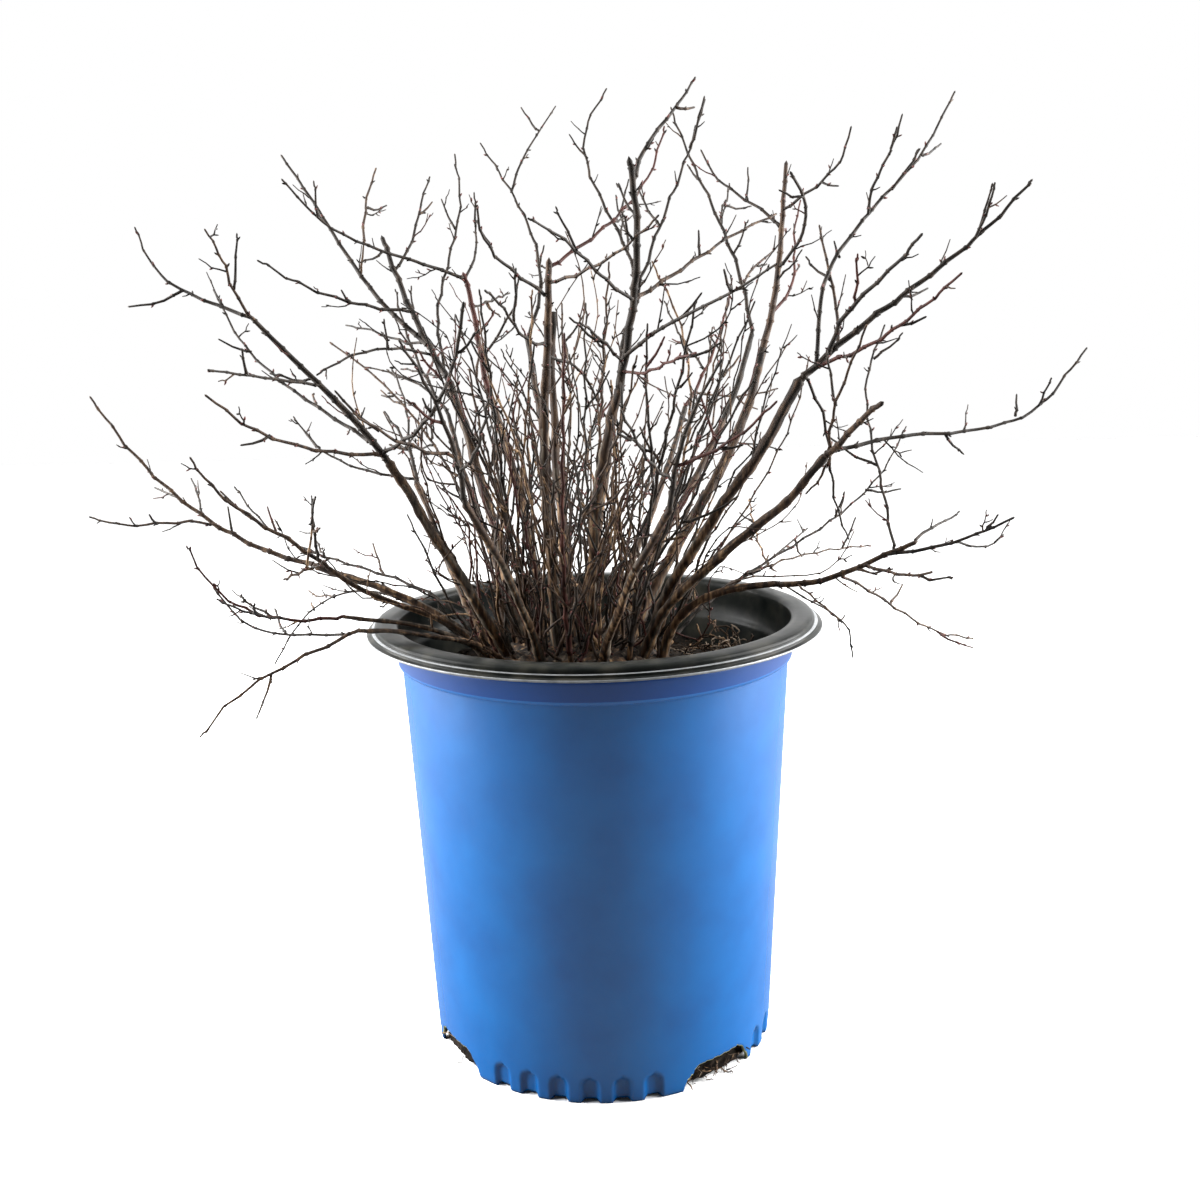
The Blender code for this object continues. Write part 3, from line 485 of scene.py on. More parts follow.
def bottom_edge(azimuth):
    """The height of the foot's lower edge: lifted a little at a dent, and high in a notch."""
    wobble = 0.5 * math.sin(1.7 * azimuth) + 0.3 * math.sin(4.1 * azimuth)
    away = off_middle(azimuth + 0.6 * wobble, NOTCH_AZIMUTHS) / NOTCH_HALF_ANGLE
    if away < 1:
        for (low, wide), (high, narrow) in zip(NOTCH_SECTION[1:], NOTCH_SECTION[2:]):
            if away >= narrow:
                return low + (high - low) * (wide - away) / (wide - narrow) + 0.3 * wobble
        return NOTCH_HEIGHT - 0.6 + 0.5 * wobble
    return DENT_EDGE_LIFT * dent_at(azimuth, DENT_LOW) / DENT_DEPTH


print("dents round the foot:", len(DENT_AZIMUTHS))

# %% [markdown]
# The blue skin is what the eye sees of the pot from outside. It is a closed strip turned round the axis:
# up the outside, and back down just inside it. Its lowest rows are close together, because the dents
# and notches are there. The painted shade of the band and the painted highlight of the step's line
# could be painted by height, but the rows of faces already end at the step, so whole rows get their
# own finish.

# %% Turn the blue skin
SKIN_COLUMNS = 540
SKIN_THICKNESS = 0.5
FOOT_THICKNESS = 1.2
FOOT_ZONE = 20.0
FOOT_ROWS = 15
FOOT_TUCK = 0.5
FOOT_TUCK_HEIGHT = 1.2
FOOT_INNER_LIFT = 0.35
CUT_EDGE_FROM = DENT_EDGE_LIFT + 0.6
WALL_HEIGHTS = (34, 55, 80, 110, 140, 170, 195, POT_STEP_HEIGHT - 1.2)
SKIN_BEHIND_LIP = [(103.4, 216.0), (104.2, 221.5)]
BLUE, EDGE, PAINTED_SHADE, PAINTED_HIGHLIGHT = range(4)


def blue_section(azimuth):
    """Radius and height round the skin at one azimuth, from the lower edge up and back."""
    step = wall_radius(POT_STEP_HEIGHT)
    edge = bottom_edge(azimuth)
    outer = []
    for row in range(FOOT_ROWS):
        height = edge + (FOOT_ZONE - edge) * row / (FOOT_ROWS - 1)
        tuck = FOOT_TUCK * (1 - eased(height - edge, 0, FOOT_TUCK_HEIGHT))
        outer.append((wall_radius(height) - dent_at(azimuth, height) - tuck, height))
    outer += [(wall_radius(height), height) for height in WALL_HEIGHTS]
    outer += [(step, POT_STEP_HEIGHT - 0.5), (step + POT_STEP + 0.1, POT_STEP_HEIGHT - 0.1)]
    outer += [(step + POT_STEP + 0.3, POT_STEP_HEIGHT + 1.3), *SKIN_BEHIND_LIP]
    inner = []
    for radius, height in reversed(outer):
        inner.append((radius - (FOOT_THICKNESS if height < FOOT_ZONE else SKIN_THICKNESS), height))
    inner[-1] = (inner[-1][0], edge + FOOT_INNER_LIFT)
    return outer + inner


def blue_tints(rows):
    """The wall is blue, its step a painted highlight, the band over it a painted shade, and the notches'
    edges are cut.
    """
    tints = [BLUE] * (rows * SKIN_COLUMNS)
    # The row of the step gets the painted highlight, and the two rows over it the painted shade.
    step_row = FOOT_ROWS + len(WALL_HEIGHTS) + 1
    for k, azimuth in enumerate(all_round(SKIN_COLUMNS)):
        tints[step_row * SKIN_COLUMNS + k] = PAINTED_HIGHLIGHT
        tints[(step_row + 1) * SKIN_COLUMNS + k] = PAINTED_SHADE
        tints[(step_row + 2) * SKIN_COLUMNS + k] = PAINTED_SHADE
        if bottom_edge(azimuth) > CUT_EDGE_FROM:
            tints[(rows - 1) * SKIN_COLUMNS + k] = EDGE
            tints[k] = EDGE
    return tints


def make_blue_skin():
    azimuths = all_round(SKIN_COLUMNS)
    sections = [blue_section(azimuth) for azimuth in azimuths]
    rows = len(sections[0])
    points = []
    for row in range(rows):
        points += [around(section[row][0], azimuth, section[row][1])
                   for azimuth, section in zip(azimuths, sections)]
    skin = Gatherer((POT_BLUE, POT_EDGE, POT_PAINTED_SHADE, POT_PAINTED_HIGHLIGHT))
    skin.add(points, ring_faces(rows, SKIN_COLUMNS, closed=True), blue_tints(rows))
    skin.make("pot_blue_skin", ["pot"])


make_blue_skin()

# %% [markdown]
# The black skin carries the lip. Its section is drawn as one closed outline: the flange, the groove
# over it, the round bead, the inside wall with its step, and back down behind the blue skin. The
# fine edges of the flange catch the light, so they get a pale grey painted highlight. A bead
# could be a ring laid on a plain cylinder, but one outline leaves no seam where they meet.

# %% Turn the black skin with its lip
LIP_COLUMNS = 300
LIP_SECTION = (
    (104.4, 221.7), (116.9, 221.5), (117.4, 221.8), (117.5, 222.3), (117.3, 222.8), (115.6, 223.1),
    (114.9, 223.4), (115.2, 223.9), (115.0, 224.5), (113.4, 224.6), (113.0, 225.0), (113.3, 225.5),
    (113.2, 226.2), (112.6, 226.9), (111.6, 227.3), (109.0, 227.5), (105.6, 227.6), (103.2, 227.4),
    (101.8, 226.6), (101.2, 225.2), (101.6, 222.0), (101.4, 216.0), (100.9, 209.6), (99.9, 207.8),
    (99.1, 206.8), (98.7, 205.4), (98.3, 196.0), (97.5, 180.0), (98.1, 180.2),
    (99.3, 204.0), (99.8, 206.6), (101.4, 209.2), (102.6, 216.0), (103.4, 221.2),
)
# The rows of the lip's section whose faces carry the pale grey painted highlight.
LIP_HIGHLIGHT_ROWS = (1, 2, 3, 8)


def make_black_skin():
    points = []
    for radius, height in LIP_SECTION:
        points += [around(radius, azimuth, height) for azimuth in all_round(LIP_COLUMNS)]
    faces = ring_faces(len(LIP_SECTION), LIP_COLUMNS, closed=True)
    tints = [int(k // LIP_COLUMNS in LIP_HIGHLIGHT_ROWS) for k in range(len(faces))]
    lip = Gatherer((POT_BLACK, LIP_PAINTED_HIGHLIGHT))
    lip.add(points, faces, tints)
    lip.make("pot_black_lip", ["pot"])


make_black_skin()

# %% [markdown]
# ## The potting mix
# Composted bark and peat: dark, damp and crumbly, higher round the crown. Grains could be heaped one
# by one, but only the top shows, so two rules give the heights of the mix and of the woody crown, and
# noise adds the lumps. Every shoot that grows from the crown asks the same rules where it stands.

# %% Write the heights of the mix and the crown
SOIL_EDGE = 192.0
SOIL_MIDDLE = 199.0
CROWN_CENTRE = (-10.0, 0.0)
CROWN_HALF = (50.0, 36.0)
CROWN_HEIGHT = 11.0
CROWN_EDGE = 2.0
MIX_LUMP_SIZE = 9.0
MIX_LUMP_HEIGHT = 1.7


def from_crown(x, y):
    """How far a place is from the crown's middle, as a share of the crown's half size."""
    return math.hypot((x - CROWN_CENTRE[0]) / CROWN_HALF[0], (y - CROWN_CENTRE[1]) / CROWN_HALF[1])


def soil_height(x, y):
    """The mix is flat under the crown, and falls unevenly towards the wall."""
    fall = min(max((from_crown(x, y) - 1.15) / 1.2, 0), 1)
    lumps = 1.6 * math.sin(0.11 * x + 0.7) * math.cos(0.13 * y) + 1.0 * math.sin(0.23 * x + 0.19 * y)
    return SOIL_MIDDLE + (SOIL_EDGE - SOIL_MIDDLE + lumps) * fall


def crown_height(x, y):
    """The top of the woody crown, a low lumpy mound on the mix."""
    lumps = 0.8 * math.sin(0.31 * x) * math.cos(0.27 * y)
    dome = (CROWN_HEIGHT + lumps) * math.sqrt(max(1 - from_crown(x, y) ** 2, 0))
    return SOIL_MIDDLE + GAP + CROWN_EDGE + dome


def rough(x, y, z, size, height):
    """Lumps of about the size given, up to the height given."""
    return height * noise.fractal(Vector((x, y, z)) / size, 1.0, 2.0, 4)


def on_crown(share, angle):
    """A place on the crown, at a share of the way from its middle to its rim."""
    return (CROWN_CENTRE[0] + CROWN_HALF[0] * share * math.cos(angle),
            CROWN_CENTRE[1] + CROWN_HALF[1] * share * math.sin(angle))


def mix_height(x, y):
    """The top of the crumbly mix."""
    return soil_height(x, y) + rough(x, y, 3.0, MIX_LUMP_SIZE, MIX_LUMP_HEIGHT)


print("crown's top:", round(crown_height(*CROWN_CENTRE), 1), "mm over the table")

# %% [markdown]
# Where the foot is notched the root ball shows, so the mix is a whole plug that fills the pot: rings
# up the wall, rough near the notches, and then rings that close over the top.

# %% Fill the pot with the mix
PLUG_COLUMNS = 220
PLUG_RADIUS_TOP = 97.6
PLUG_RADIUS_FOOT = 86.5
PLUG_LUMP_SIZE = 4.0
PLUG_LUMP_DEPTH = 1.3
PLUG_SWELL = 1.2
PLUG_WALL_FOOT = 20
PLUG_WALL_RISE = 170
PLUG_TOP_RINGS = 40
PLUG_FOOT_HEIGHTS = [2.3 + 1.1 * k for k in range(13)]
PLUG_WALL_SHARES = [k / 5 for k in range(6)]


def make_mix():
    walls = [(PLUG_RADIUS_FOOT, height) for height in PLUG_FOOT_HEIGHTS]
    for share in PLUG_WALL_SHARES:
        radius = PLUG_RADIUS_FOOT + (PLUG_RADIUS_TOP - PLUG_RADIUS_FOOT) * share
        walls.append((radius, PLUG_WALL_FOOT + PLUG_WALL_RISE * share))
    azimuths = all_round(PLUG_COLUMNS)
    points = []
    for radius, height in walls:
        for azimuth in azimuths:
            x, y, _ = around(radius, azimuth, 0)
            swell = rough(x, y, height, PLUG_LUMP_SIZE, PLUG_LUMP_DEPTH) if height < FOOT_ZONE else 0
            points.append(around(radius + min(swell, PLUG_SWELL), azimuth, height))
    for ring in range(PLUG_TOP_RINGS):
        for azimuth in azimuths:
            x, y, _ = around(PLUG_RADIUS_TOP * (1 - ring / PLUG_TOP_RINGS), azimuth, 0)
            points.append((x, y, mix_height(x, y)))
    rows = len(walls) + PLUG_TOP_RINGS
    faces = ring_faces(rows, PLUG_COLUMNS)
    faces.append(tuple(range(PLUG_COLUMNS - 1, -1, -1)))
    faces.append(tuple((rows - 1) * PLUG_COLUMNS + k for k in range(PLUG_COLUMNS)))
    plug = Gatherer((MIX_DARK,))
    plug.add(points, faces)
    plug.make("mix_plug", ["potting_mix"])


make_mix()

# %% [markdown]
# The top of the mix is loose chips. Each is an eight-sided lump with three unlike sizes, turned at
# random and a little sunk. Flat shading keeps their facets sharp, as broken bark is.

# %% Scatter chips on the mix
CHIP_COUNT = 2600
CHIP_FACES = ((0, 2, 4), (2, 1, 4), (1, 3, 4), (3, 0, 4), (2, 0, 5), (1, 2, 5), (3, 1, 5), (0, 3, 5))
CHIP_LONG = (1.0, 4.2)
CHIP_WIDE = (0.7, 2.0)
CHIP_THICK = (0.4, 1.1)
CHIP_TILT = 0.6
CHIP_CORNER = (0.35, 0.6)
CHIP_SPREAD = 96.0
CHIP_WIDEST = 97.0


def widest(points):
    """How far the farthest of some points is from the pot's axis."""
    return max(math.hypot(point.x, point.y) for point in points)


def make_chips():
    rng = random.Random(31)
    chips = Gatherer((MIX_DARK, MIX_BROWN, MIX_PALE))
    for _ in range(CHIP_COUNT):
        radius, azimuth = CHIP_SPREAD * math.sqrt(rng.random()), rng.uniform(0, 360)
        x, y, _ = around(radius, azimuth, 0)
        long, wide, thick = (rng.uniform(*size) for size in (CHIP_LONG, CHIP_WIDE, CHIP_THICK))
        turn = Matrix.Rotation(rng.uniform(0, 6.3), 3, "Z")
        turn = turn @ Matrix.Rotation(rng.uniform(-CHIP_TILT, CHIP_TILT), 3, "X")
        middle = Vector((x, y, mix_height(x, y) + 0.3 * thick))
        corners = [(long, 0, 0), (-long, 0, 0), (0, wide, 0), (0, -wide, 0), (0, 0, thick), (0, 0, -thick)]
        points = [middle + turn @ (Vector(corner) * rng.uniform(*CHIP_CORNER)) for corner in corners]
        if widest(points) < CHIP_WIDEST:
            chips.add(points, CHIP_FACES, rng.choices((0, 1, 2), (6, 5, 1))[0])
    chips.make("mix_chips", smooth=False)


make_chips()

# %% [markdown]
# ## The plan of the plant
# The measured model was drawn by a rule: every stem runs from its foot on the crown to its tip, bowed
# by two offsets. Writing the same tables and the same rule again gives the same limbs, so everything
# that is grown here goes on from them exactly. The first table lists the stems. A foot is a place on
# the crown, a tip is a place in space, and widths are measured at the foot and at the tip.

# %% List the stems
Stem = namedtuple("Stem", "name foot tip bows widths")
STEMS = (
    Stem("left_high", (-38, 9), (-74, 45, 345), (-2, -2), (5.4, 4.2)),
    Stem("left_arch", (-27, 17), (-54, 60, 336), (-4, -4), (5.0, 3.6)),
    Stem("left_main", (-44, -9), (-95, -50, 313), (0, 0), (5.2, 4.2)),
    Stem("left_inner", (-48, 4), (-96, 55, 290), (6, 3), (3.6, 2.8)),
    Stem("left_long", (-56, -2), (-144, 8, 254), (-9, -6), (4.0, 3.2)),
    Stem("left_under", (-54, -13), (-128, -43, 262), (-8, -2), (3.2, 2.4)),
    Stem("left_low", (-48, -18), (-121, -52, 240), (-8, -6), (2.6, 2.0)),
    Stem("left_droop", (-41, -24), (-111, -70, 237), (-8, -6), (2.6, 2.0)),
    Stem("middle_left", (-19, -5), (-20, -25, 354), (2, 3), (5.4, 4.2)),
    Stem("middle_right", (-12, 6), (-17, 18, 381), (2, 3), (4.4, 3.2)),
    Stem("middle_tall", (-2, -14), (14, -60, 345), (4, 5), (5.0, 4.2)),
    Stem("right_tall", (16, 8), (95, 60, 358), (-3, -7), (5.6, 4.7)),
    Stem("right_pair", (11, 18), (95, 110, 365), (-1, -5), (4.0, 3.0)),
    Stem("right_wide", (26, -4), (99, -46, 346), (5, 1), (5.6, 4.7)),
    Stem("right_out", (24, -14), (108, -68, 313), (8, 2), (4.6, 3.8)),
    Stem("right_low", (34, -11), (91, -24, 245), (14, 12), (4.4, 3.4)),
    Stem("back_left", (-22, 26), (-35, 120, 365), (-5, -4), (4.0, 2.8)),
    Stem("back_middle", (-6, 24), (22, 110, 369), (0, 0), (4.0, 2.8)),
    Stem("back_far_left", (-35, 23), (-84, 128, 322), (3, 3), (4.0, 2.8)),
    Stem("back_far_right", (1, 30), (58, 138, 322), (-3, -3), (4.0, 2.8)),
    Stem("front_left", (-27, -24), (-55, -104, 300), (-3, -3), (4.2, 3.0)),
    Stem("front_right", (3, -27), (34, -108, 296), (3, 3), (4.2, 3.0)),
)
print("stems:", len(STEMS))

# %% [markdown]
# Each mass of twigs is listed shoot by shoot. The first shoot goes on from the stem of the same name,
# or grows from a foot on the crown where there is no such stem. The others leave the shoot whose place
# in the list is given, at that share of its length.

# %% List the masses
Shoot = namedtuple("Shoot", "leaves share tip bows widths")
MASSES = {
    "left_high": (
        Shoot(None, 1.0, (-110, 75, 422), (2, 2), (3.6, 2.6)),
        Shoot(0, 0.25, (-169, 110, 470), (6, 3), (2.8, 1.2)),
        Shoot(0, 0.78, (-87, 115, 457), (-3, -1), (1.8, 1.0)),
        Shoot(0, 0.05, (-74, 135, 471), (5, -3), (1.8, 1.0)),
        Shoot(0, 0.50, (-166, 20, 410), (5, 5), (1.8, 1.0)),
        Shoot(0, 0.28, (-136, 95, 376), (2, 0), (1.6, 1.0)),
        Shoot(0, 0.19, (-136, 0, 353), (-7, -7), (1.6, 1.0)),
        Shoot(0, 0.05, (-109, 115, 350), (1, 0), (1.4, 1.0)),
    ),
    "left_arch": (
        Shoot(None, 1.0, (-68, 90, 402), (0, -1), (3.2, 2.6)),
        Shoot(0, 0.97, (-153, 30, 450), (6, 10), (2.0, 1.0)),
        Shoot(1, 0.53, (-115, 100, 461), (2, 2), (1.6, 1.0)),
        Shoot(0, 0.97, (-63, 135, 444), (-4, -2), (1.6, 1.0)),
        Shoot(0, 0.28, (-36, 60, 400), (-2, -4), (1.6, 1.0)),
        Shoot(0, 0.72, (-46, 150, 392), (0, 0), (1.4, 1.0)),
    ),
    "left_main": (
        Shoot(None, 1.0, (-152, -62, 382), (-2, -1), (3.4, 2.0)),
        Shoot(0, 1.00, (-208, -40, 424), (7, 10), (1.8, 0.9)),
        Shoot(0, 0.97, (-160, -100, 419), (2, 0), (1.6, 0.9)),
        Shoot(0, 0.53, (-154, -135, 362), (0, 0), (1.6, 1.0)),
        Shoot(0, 0.12, (-187, 10, 396), (7, 10), (2.0, 0.9)),
        Shoot(0, 0.05, (-160, -120, 351), (7, 8), (2.0, 1.0)),
        Shoot(0, 0.06, (-49, -140, 386), (-10, -9), (2.0, 1.4)),
    ),
    "left_inner": (
        Shoot(None, 1.0, (-117, 95, 327), (-4, -3), (2.4, 1.2)),
        Shoot(0, 0.05, (-167, 85, 326), (8, 10), (1.6, 1.0)),
        Shoot(0, 0.40, (-118, 140, 350), (-3, -3), (1.4, 1.0)),
    ),
    "left_long": (
        Shoot(None, 1.0, (-261, 30, 343), (14, 13), (2.8, 1.1)),
        Shoot(0, 0.38, (-244, -35, 289), (0, 3), (1.6, 0.9)),
        Shoot(0, 0.53, (-241, 60, 291), (0, 0), (1.2, 0.9)),
        Shoot(0, 0.44, (-222, 65, 295), (-1, -1), (1.2, 0.9)),
    ),
    "left_under": (
        Shoot(None, 1.0, (-180, -80, 321), (2, 5), (2.2, 1.0)),
        Shoot(0, 0.08, (-122, -95, 304), (1, 2), (1.6, 0.9)),
        Shoot(0, 0.05, (-134, -115, 271), (0, 0), (1.6, 1.0)),
    ),
    "left_low": (
        Shoot(None, 1.0, (-188, -70, 279), (14, 15), (1.8, 0.9)),
        Shoot(0, 0.30, (-165, -110, 262), (2, 2), (1.3, 0.9)),
    ),
    "left_droop": (
        Shoot(None, 1.0, (-176, -115, 201), (-4, -6), (1.9, 0.9)),
        Shoot(0, 0.05, (-184, -45, 254), (8, 12), (1.6, 0.9)),
    ),
    "left_slim": (
        Shoot(None, 0.0, (-151, 125, 366), (-19, -20), (2.0, 1.0)),
        Shoot(0, 0.55, (-120, 130, 305), (2, 2), (1.3, 0.9)),
    ),
    "left_wavy": (
        Shoot(None, 0.0, (-206, 95, 286), (-8, 7), (2.0, 0.9)),
        Shoot(0, 0.60, (-170, 130, 262), (2, 2), (1.3, 0.9)),
    ),
    "left_thread": (
        Shoot(None, 0.0, (-182, 60, 189), (-34, -37), (1.6, 0.9)),
        Shoot(0, 0.60, (-165, 84, 226), (0, 2), (1.2, 0.9)),
    ),
    "middle_left": (
        Shoot(None, 1.0, (-17, -40, 404), (0, 0), (4.0, 3.0)),
        Shoot(0, 0.69, (-46, -95, 427), (5, 7), (1.8, 1.0)),
        Shoot(0, 0.12, (10, 45, 323), (7, 4), (1.6, 1.0)),
        Shoot(0, 0.22, (-42, -115, 391), (4, 1), (1.6, 1.0)),
        Shoot(0, 0.81, (31, -105, 420), (-4, -4), (1.6, 1.0)),
        Shoot(0, 0.95, (41, 20, 470), (-8, -10), (1.8, 1.0)),
    ),
    "middle_tall": (
        Shoot(None, 1.0, (20, -85, 444), (-4, -5), (3.8, 2.8)),
        Shoot(0, 0.91, (52, -40, 484), (3, 1), (2.2, 1.0)),
        Shoot(0, 0.41, (93, -10, 425), (1, 2), (2.0, 1.0)),
        Shoot(0, 0.16, (74, -155, 398), (2, 0), (2.0, 1.0)),
        Shoot(0, 0.12, (-3, -115, 377), (-1, -1), (1.6, 1.0)),
        Shoot(0, 0.41, (-22, -140, 418), (0, -2), (1.8, 1.0)),
        Shoot(0, 0.28, (58, -20, 477), (2, 0), (1.8, 0.9)),
        Shoot(0, 0.09, (42, -160, 365), (-3, -1), (1.5, 1.0)),
    ),
    "right_tall": (
        Shoot(None, 1.0, (111, 85, 457), (-3, -2), (3.8, 2.2)),
        Shoot(0, 0.66, (67, 115, 468), (2, 5), (2.0, 1.0)),
        Shoot(0, 0.75, (138, 40, 470), (-5, -7), (1.8, 1.0)),
        Shoot(0, 0.44, (105, 25, 447), (-10, -10), (2.0, 1.5)),
        Shoot(0, 0.19, (125, 125, 440), (-7, -2), (1.8, 1.0)),
    ),
    "right_pair": (
        Shoot(None, 1.0, (53, 160, 497), (-5, -2), (2.4, 1.1)),
        Shoot(0, 0.20, (120, 165, 420), (2, 0), (1.6, 1.0)),
        Shoot(0, 0.45, (90, 185, 455), (2, 0), (1.5, 1.0)),
    ),
    "right_wide": (
        Shoot(None, 1.0, (201, -60, 434), (0, -3), (3.4, 1.2)),
        Shoot(0, 0.75, (176, -90, 431), (-1, -1), (1.5, 0.9)),
        Shoot(0, 0.14, (137, -125, 409), (5, 2), (2.4, 1.2)),
        Shoot(0, 0.18, (114, -10, 419), (-2, -1), (1.8, 1.0)),
        Shoot(0, 0.08, (187, 25, 484), (15, 4), (2.2, 1.0)),
        Shoot(4, 0.50, (140, -60, 458), (2, 0), (1.6, 1.0)),
        Shoot(0, 0.08, (151, -135, 393), (-5, -4), (2.0, 1.0)),
        Shoot(0, 0.03, (134, 10, 261), (3, -1), (1.6, 1.0)),
    ),
    "right_out": (
        Shoot(None, 1.0, (125, -110, 340), (0, 1), (3.2, 2.2)),
        Shoot(0, 0.10, (240, -30, 358), (-9, -19), (2.2, 1.0)),
        Shoot(1, 0.75, (213, -62, 346), (0, 0), (1.2, 0.9)),
        Shoot(0, 0.05, (117, -115, 373), (3, 2), (1.6, 1.0)),
    ),
    "right_low": (
        Shoot(None, 1.0, (157, -40, 267), (-5, -3), (3.2, 2.2)),
        Shoot(0, 1.00, (185, -15, 278), (2, 0), (1.6, 0.9)),
        Shoot(0, 0.80, (197, -65, 282), (-3, -3), (2.0, 1.2)),
        Shoot(2, 0.44, (203, -30, 268), (-1, -5), (1.3, 0.9)),
        Shoot(0, 0.62, (152, -95, 263), (-2, -3), (1.8, 1.2)),
        Shoot(0, 0.45, (205, 25, 202), (-2, -5), (1.6, 1.0)),
        Shoot(0, 0.85, (155, 30, 370), (6, 11), (1.6, 1.0)),
        Shoot(0, 0.15, (113, -80, 239), (0, 0), (1.2, 0.9)),
        Shoot(0, 0.05, (137, 10, 197), (5, 9), (1.2, 0.9)),
    ),
    "right_slim": (
        Shoot(None, 0.0, (182, 95, 311), (0, -11), (1.8, 0.9)),
        Shoot(0, 0.38, (128, 110, 251), (0, 0), (1.2, 0.9)),
    ),
    "right_thread": (
        Shoot(None, 0.0, (170, 130, 236), (15, 13), (1.6, 0.9)),
        Shoot(0, 0.50, (100, 165, 262), (2, 2), (1.2, 0.9)),
    ),
    "middle_slim": (
        Shoot(None, 0.0, (36, 65, 406), (-22, -28), (2.0, 1.0)),
        Shoot(0, 0.50, (70, 20, 372), (-4, -2), (1.3, 0.9)),
    ),
    "middle_thread": (
        Shoot(None, 0.0, (84, 140, 386), (-10, -10), (1.8, 0.9)),
        Shoot(0, 0.55, (110, 90, 300), (2, 2), (1.2, 0.9)),
    ),
    "back_left": (
        Shoot(None, 1.0, (-61, 165, 480), (-17, -13), (2.4, 1.0)),
        Shoot(0, 0.72, (-16, 195, 504), (3, 2), (1.6, 0.9)),
        Shoot(0, 0.20, (-30, 190, 420), (-2, 0), (1.5, 1.0)),
    ),
    "back_middle": (
        Shoot(None, 1.0, (15, 155, 508), (-4, 14), (2.4, 1.0)),
        Shoot(0, 0.30, (20, 190, 450), (-2, 0), (1.6, 1.0)),
        Shoot(0, 0.10, (30, 175, 400), (-2, -3), (1.5, 1.0)),
    ),
    "back_far_left": (
        Shoot(None, 1.0, (-118, 176, 396), (4, 4), (2.4, 1.0)),
        Shoot(0, 0.30, (-90, 200, 360), (2, 2), (1.6, 1.0)),
        Shoot(0, 0.15, (-138, 160, 350), (-3, -3), (1.5, 1.0)),
    ),
    "back_far_right": (
        Shoot(None, 1.0, (92, 190, 398), (-4, -4), (2.4, 1.0)),
        Shoot(0, 0.30, (50, 205, 385), (2, 2), (1.6, 1.0)),
        Shoot(0, 0.12, (118, 170, 330), (-3, -3), (1.5, 1.0)),
    ),
    "front_left": (
        Shoot(None, 1.0, (-74, -150, 372), (-4, -4), (2.6, 1.0)),
        Shoot(0, 0.30, (-92, -160, 345), (3, 3), (1.6, 1.0)),
        Shoot(0, 0.20, (-38, -175, 350), (-3, -2), (1.6, 1.0)),
    ),
    "front_right": (
        Shoot(None, 1.0, (52, -160, 362), (4, 4), (2.6, 1.0)),
        Shoot(0, 0.30, (74, -155, 345), (-3, -3), (1.6, 1.0)),
        Shoot(0, 0.20, (12, -180, 345), (3, 2), (1.6, 1.0)),
    ),
}
print("masses:", len(MASSES))

# %% [markdown]
# A mass with no stem grows straight from the crown, from one of these feet. A bundle is a mass of slim
# shoots that fan out from one short stem. The dense middle of the shrub is made of bundles, because no
# shoot there can be told from the next, and a rule can place them.

# %% List the feet and the bundles
FEET = {
    "left_slim": (-46, 14),
    "left_wavy": (-54, 9),
    "left_thread": (-57, 4.5),
    "right_slim": (35, 5),
    "right_thread": (31, 14),
    "middle_slim": (8, -3),
    "middle_thread": (20, 17),
}
Bundle = namedtuple("Bundle", "name foot tip shoots spread")
BUNDLES = (
    Bundle("bundle_left", (-31, -13), (-50, -40, 392), 6, 46),
    Bundle("bundle_front", (-12, -30), (-10, -92, 372), 6, 46),
    Bundle("bundle_right", (17, -20), (50, -62, 385), 6, 46),
    Bundle("bundle_back", (-10, 33), (-14, 104, 385), 5, 46),
    Bundle("bundle_middle", (2, 8), (12, 24, 405), 6, 42),
)
print("masses without a stem:", len(FEET) + len(BUNDLES))

# %% [markdown]
# ## The rule of the limbs
# A limb is a straight line with a curve laid over it. The curve passes through two bows, one at each
# third, so a limb can bend one way or sway both ways with only two numbers.

# %% Draw a limb
def off_chord(share, bows):
    """The curve through 0, the two bows at one and two thirds, and 0 again."""
    first = 13.5 * share * (share - 2 / 3) * (share - 1)
    second = -13.5 * share * (share - 1 / 3) * (share - 1)
    return first * bows[0] + second * bows[1]


def limb_path(start, end, bows, steps):
    start, end = Vector(start), Vector(end)
    chord = end - start
    side = Vector((-chord.z, 0, chord.x)).normalized()
    shares = [k / steps for k in range(steps + 1)]
    return [start + chord * share + side * off_chord(share, bows) for share in shares]


def path_length(path):
    return sum((b - a).length for a, b in zip(path, path[1:]))


def lengths_along(path):
    """The length gone at each point of a path."""
    return [path_length(path[:k + 1]) for k in range(len(path))]


def point_at(path, share):
    """The point and the direction at a share of a path's length."""
    left = share * path_length(path)
    for a, b in zip(path, path[1:]):
        step = (b - a).length
        if left <= step or b is path[-1]:
            return a + (b - a) * min(left / step, 1), (b - a).normalized()
        left -= step


def cut_path(path, start, end):
    """The stretch of a path between two lengths along it."""
    total = path_length(path)
    inside = []
    gone = 0.0
    for a, b in zip(path, path[1:]):
        gone += (b - a).length
        if start + 0.5 < gone < end - 0.5:
            inside.append(b)
    return [point_at(path, start / total)[0], *inside, point_at(path, end / total)[0]]


def across(direction):
    """Two directions square to the one given and to each other."""
    helper = Vector((0, 1, 0)) if abs(direction.y) < 0.9 else Vector((1, 0, 0))
    first = direction.cross(helper).normalized()
    return first, direction.cross(first).normalized()


def sideways(axis, turn):
    """The direction square to an axis, at a turn round it."""
    first, second = across(axis)
    return first * math.cos(turn) + second * math.sin(turn)


def taper(widths, count):
    """Radii that change evenly from one width to another."""
    return [0.5 * (widths[0] + (widths[1] - widths[0]) * k / (count - 1)) for k in range(count)]


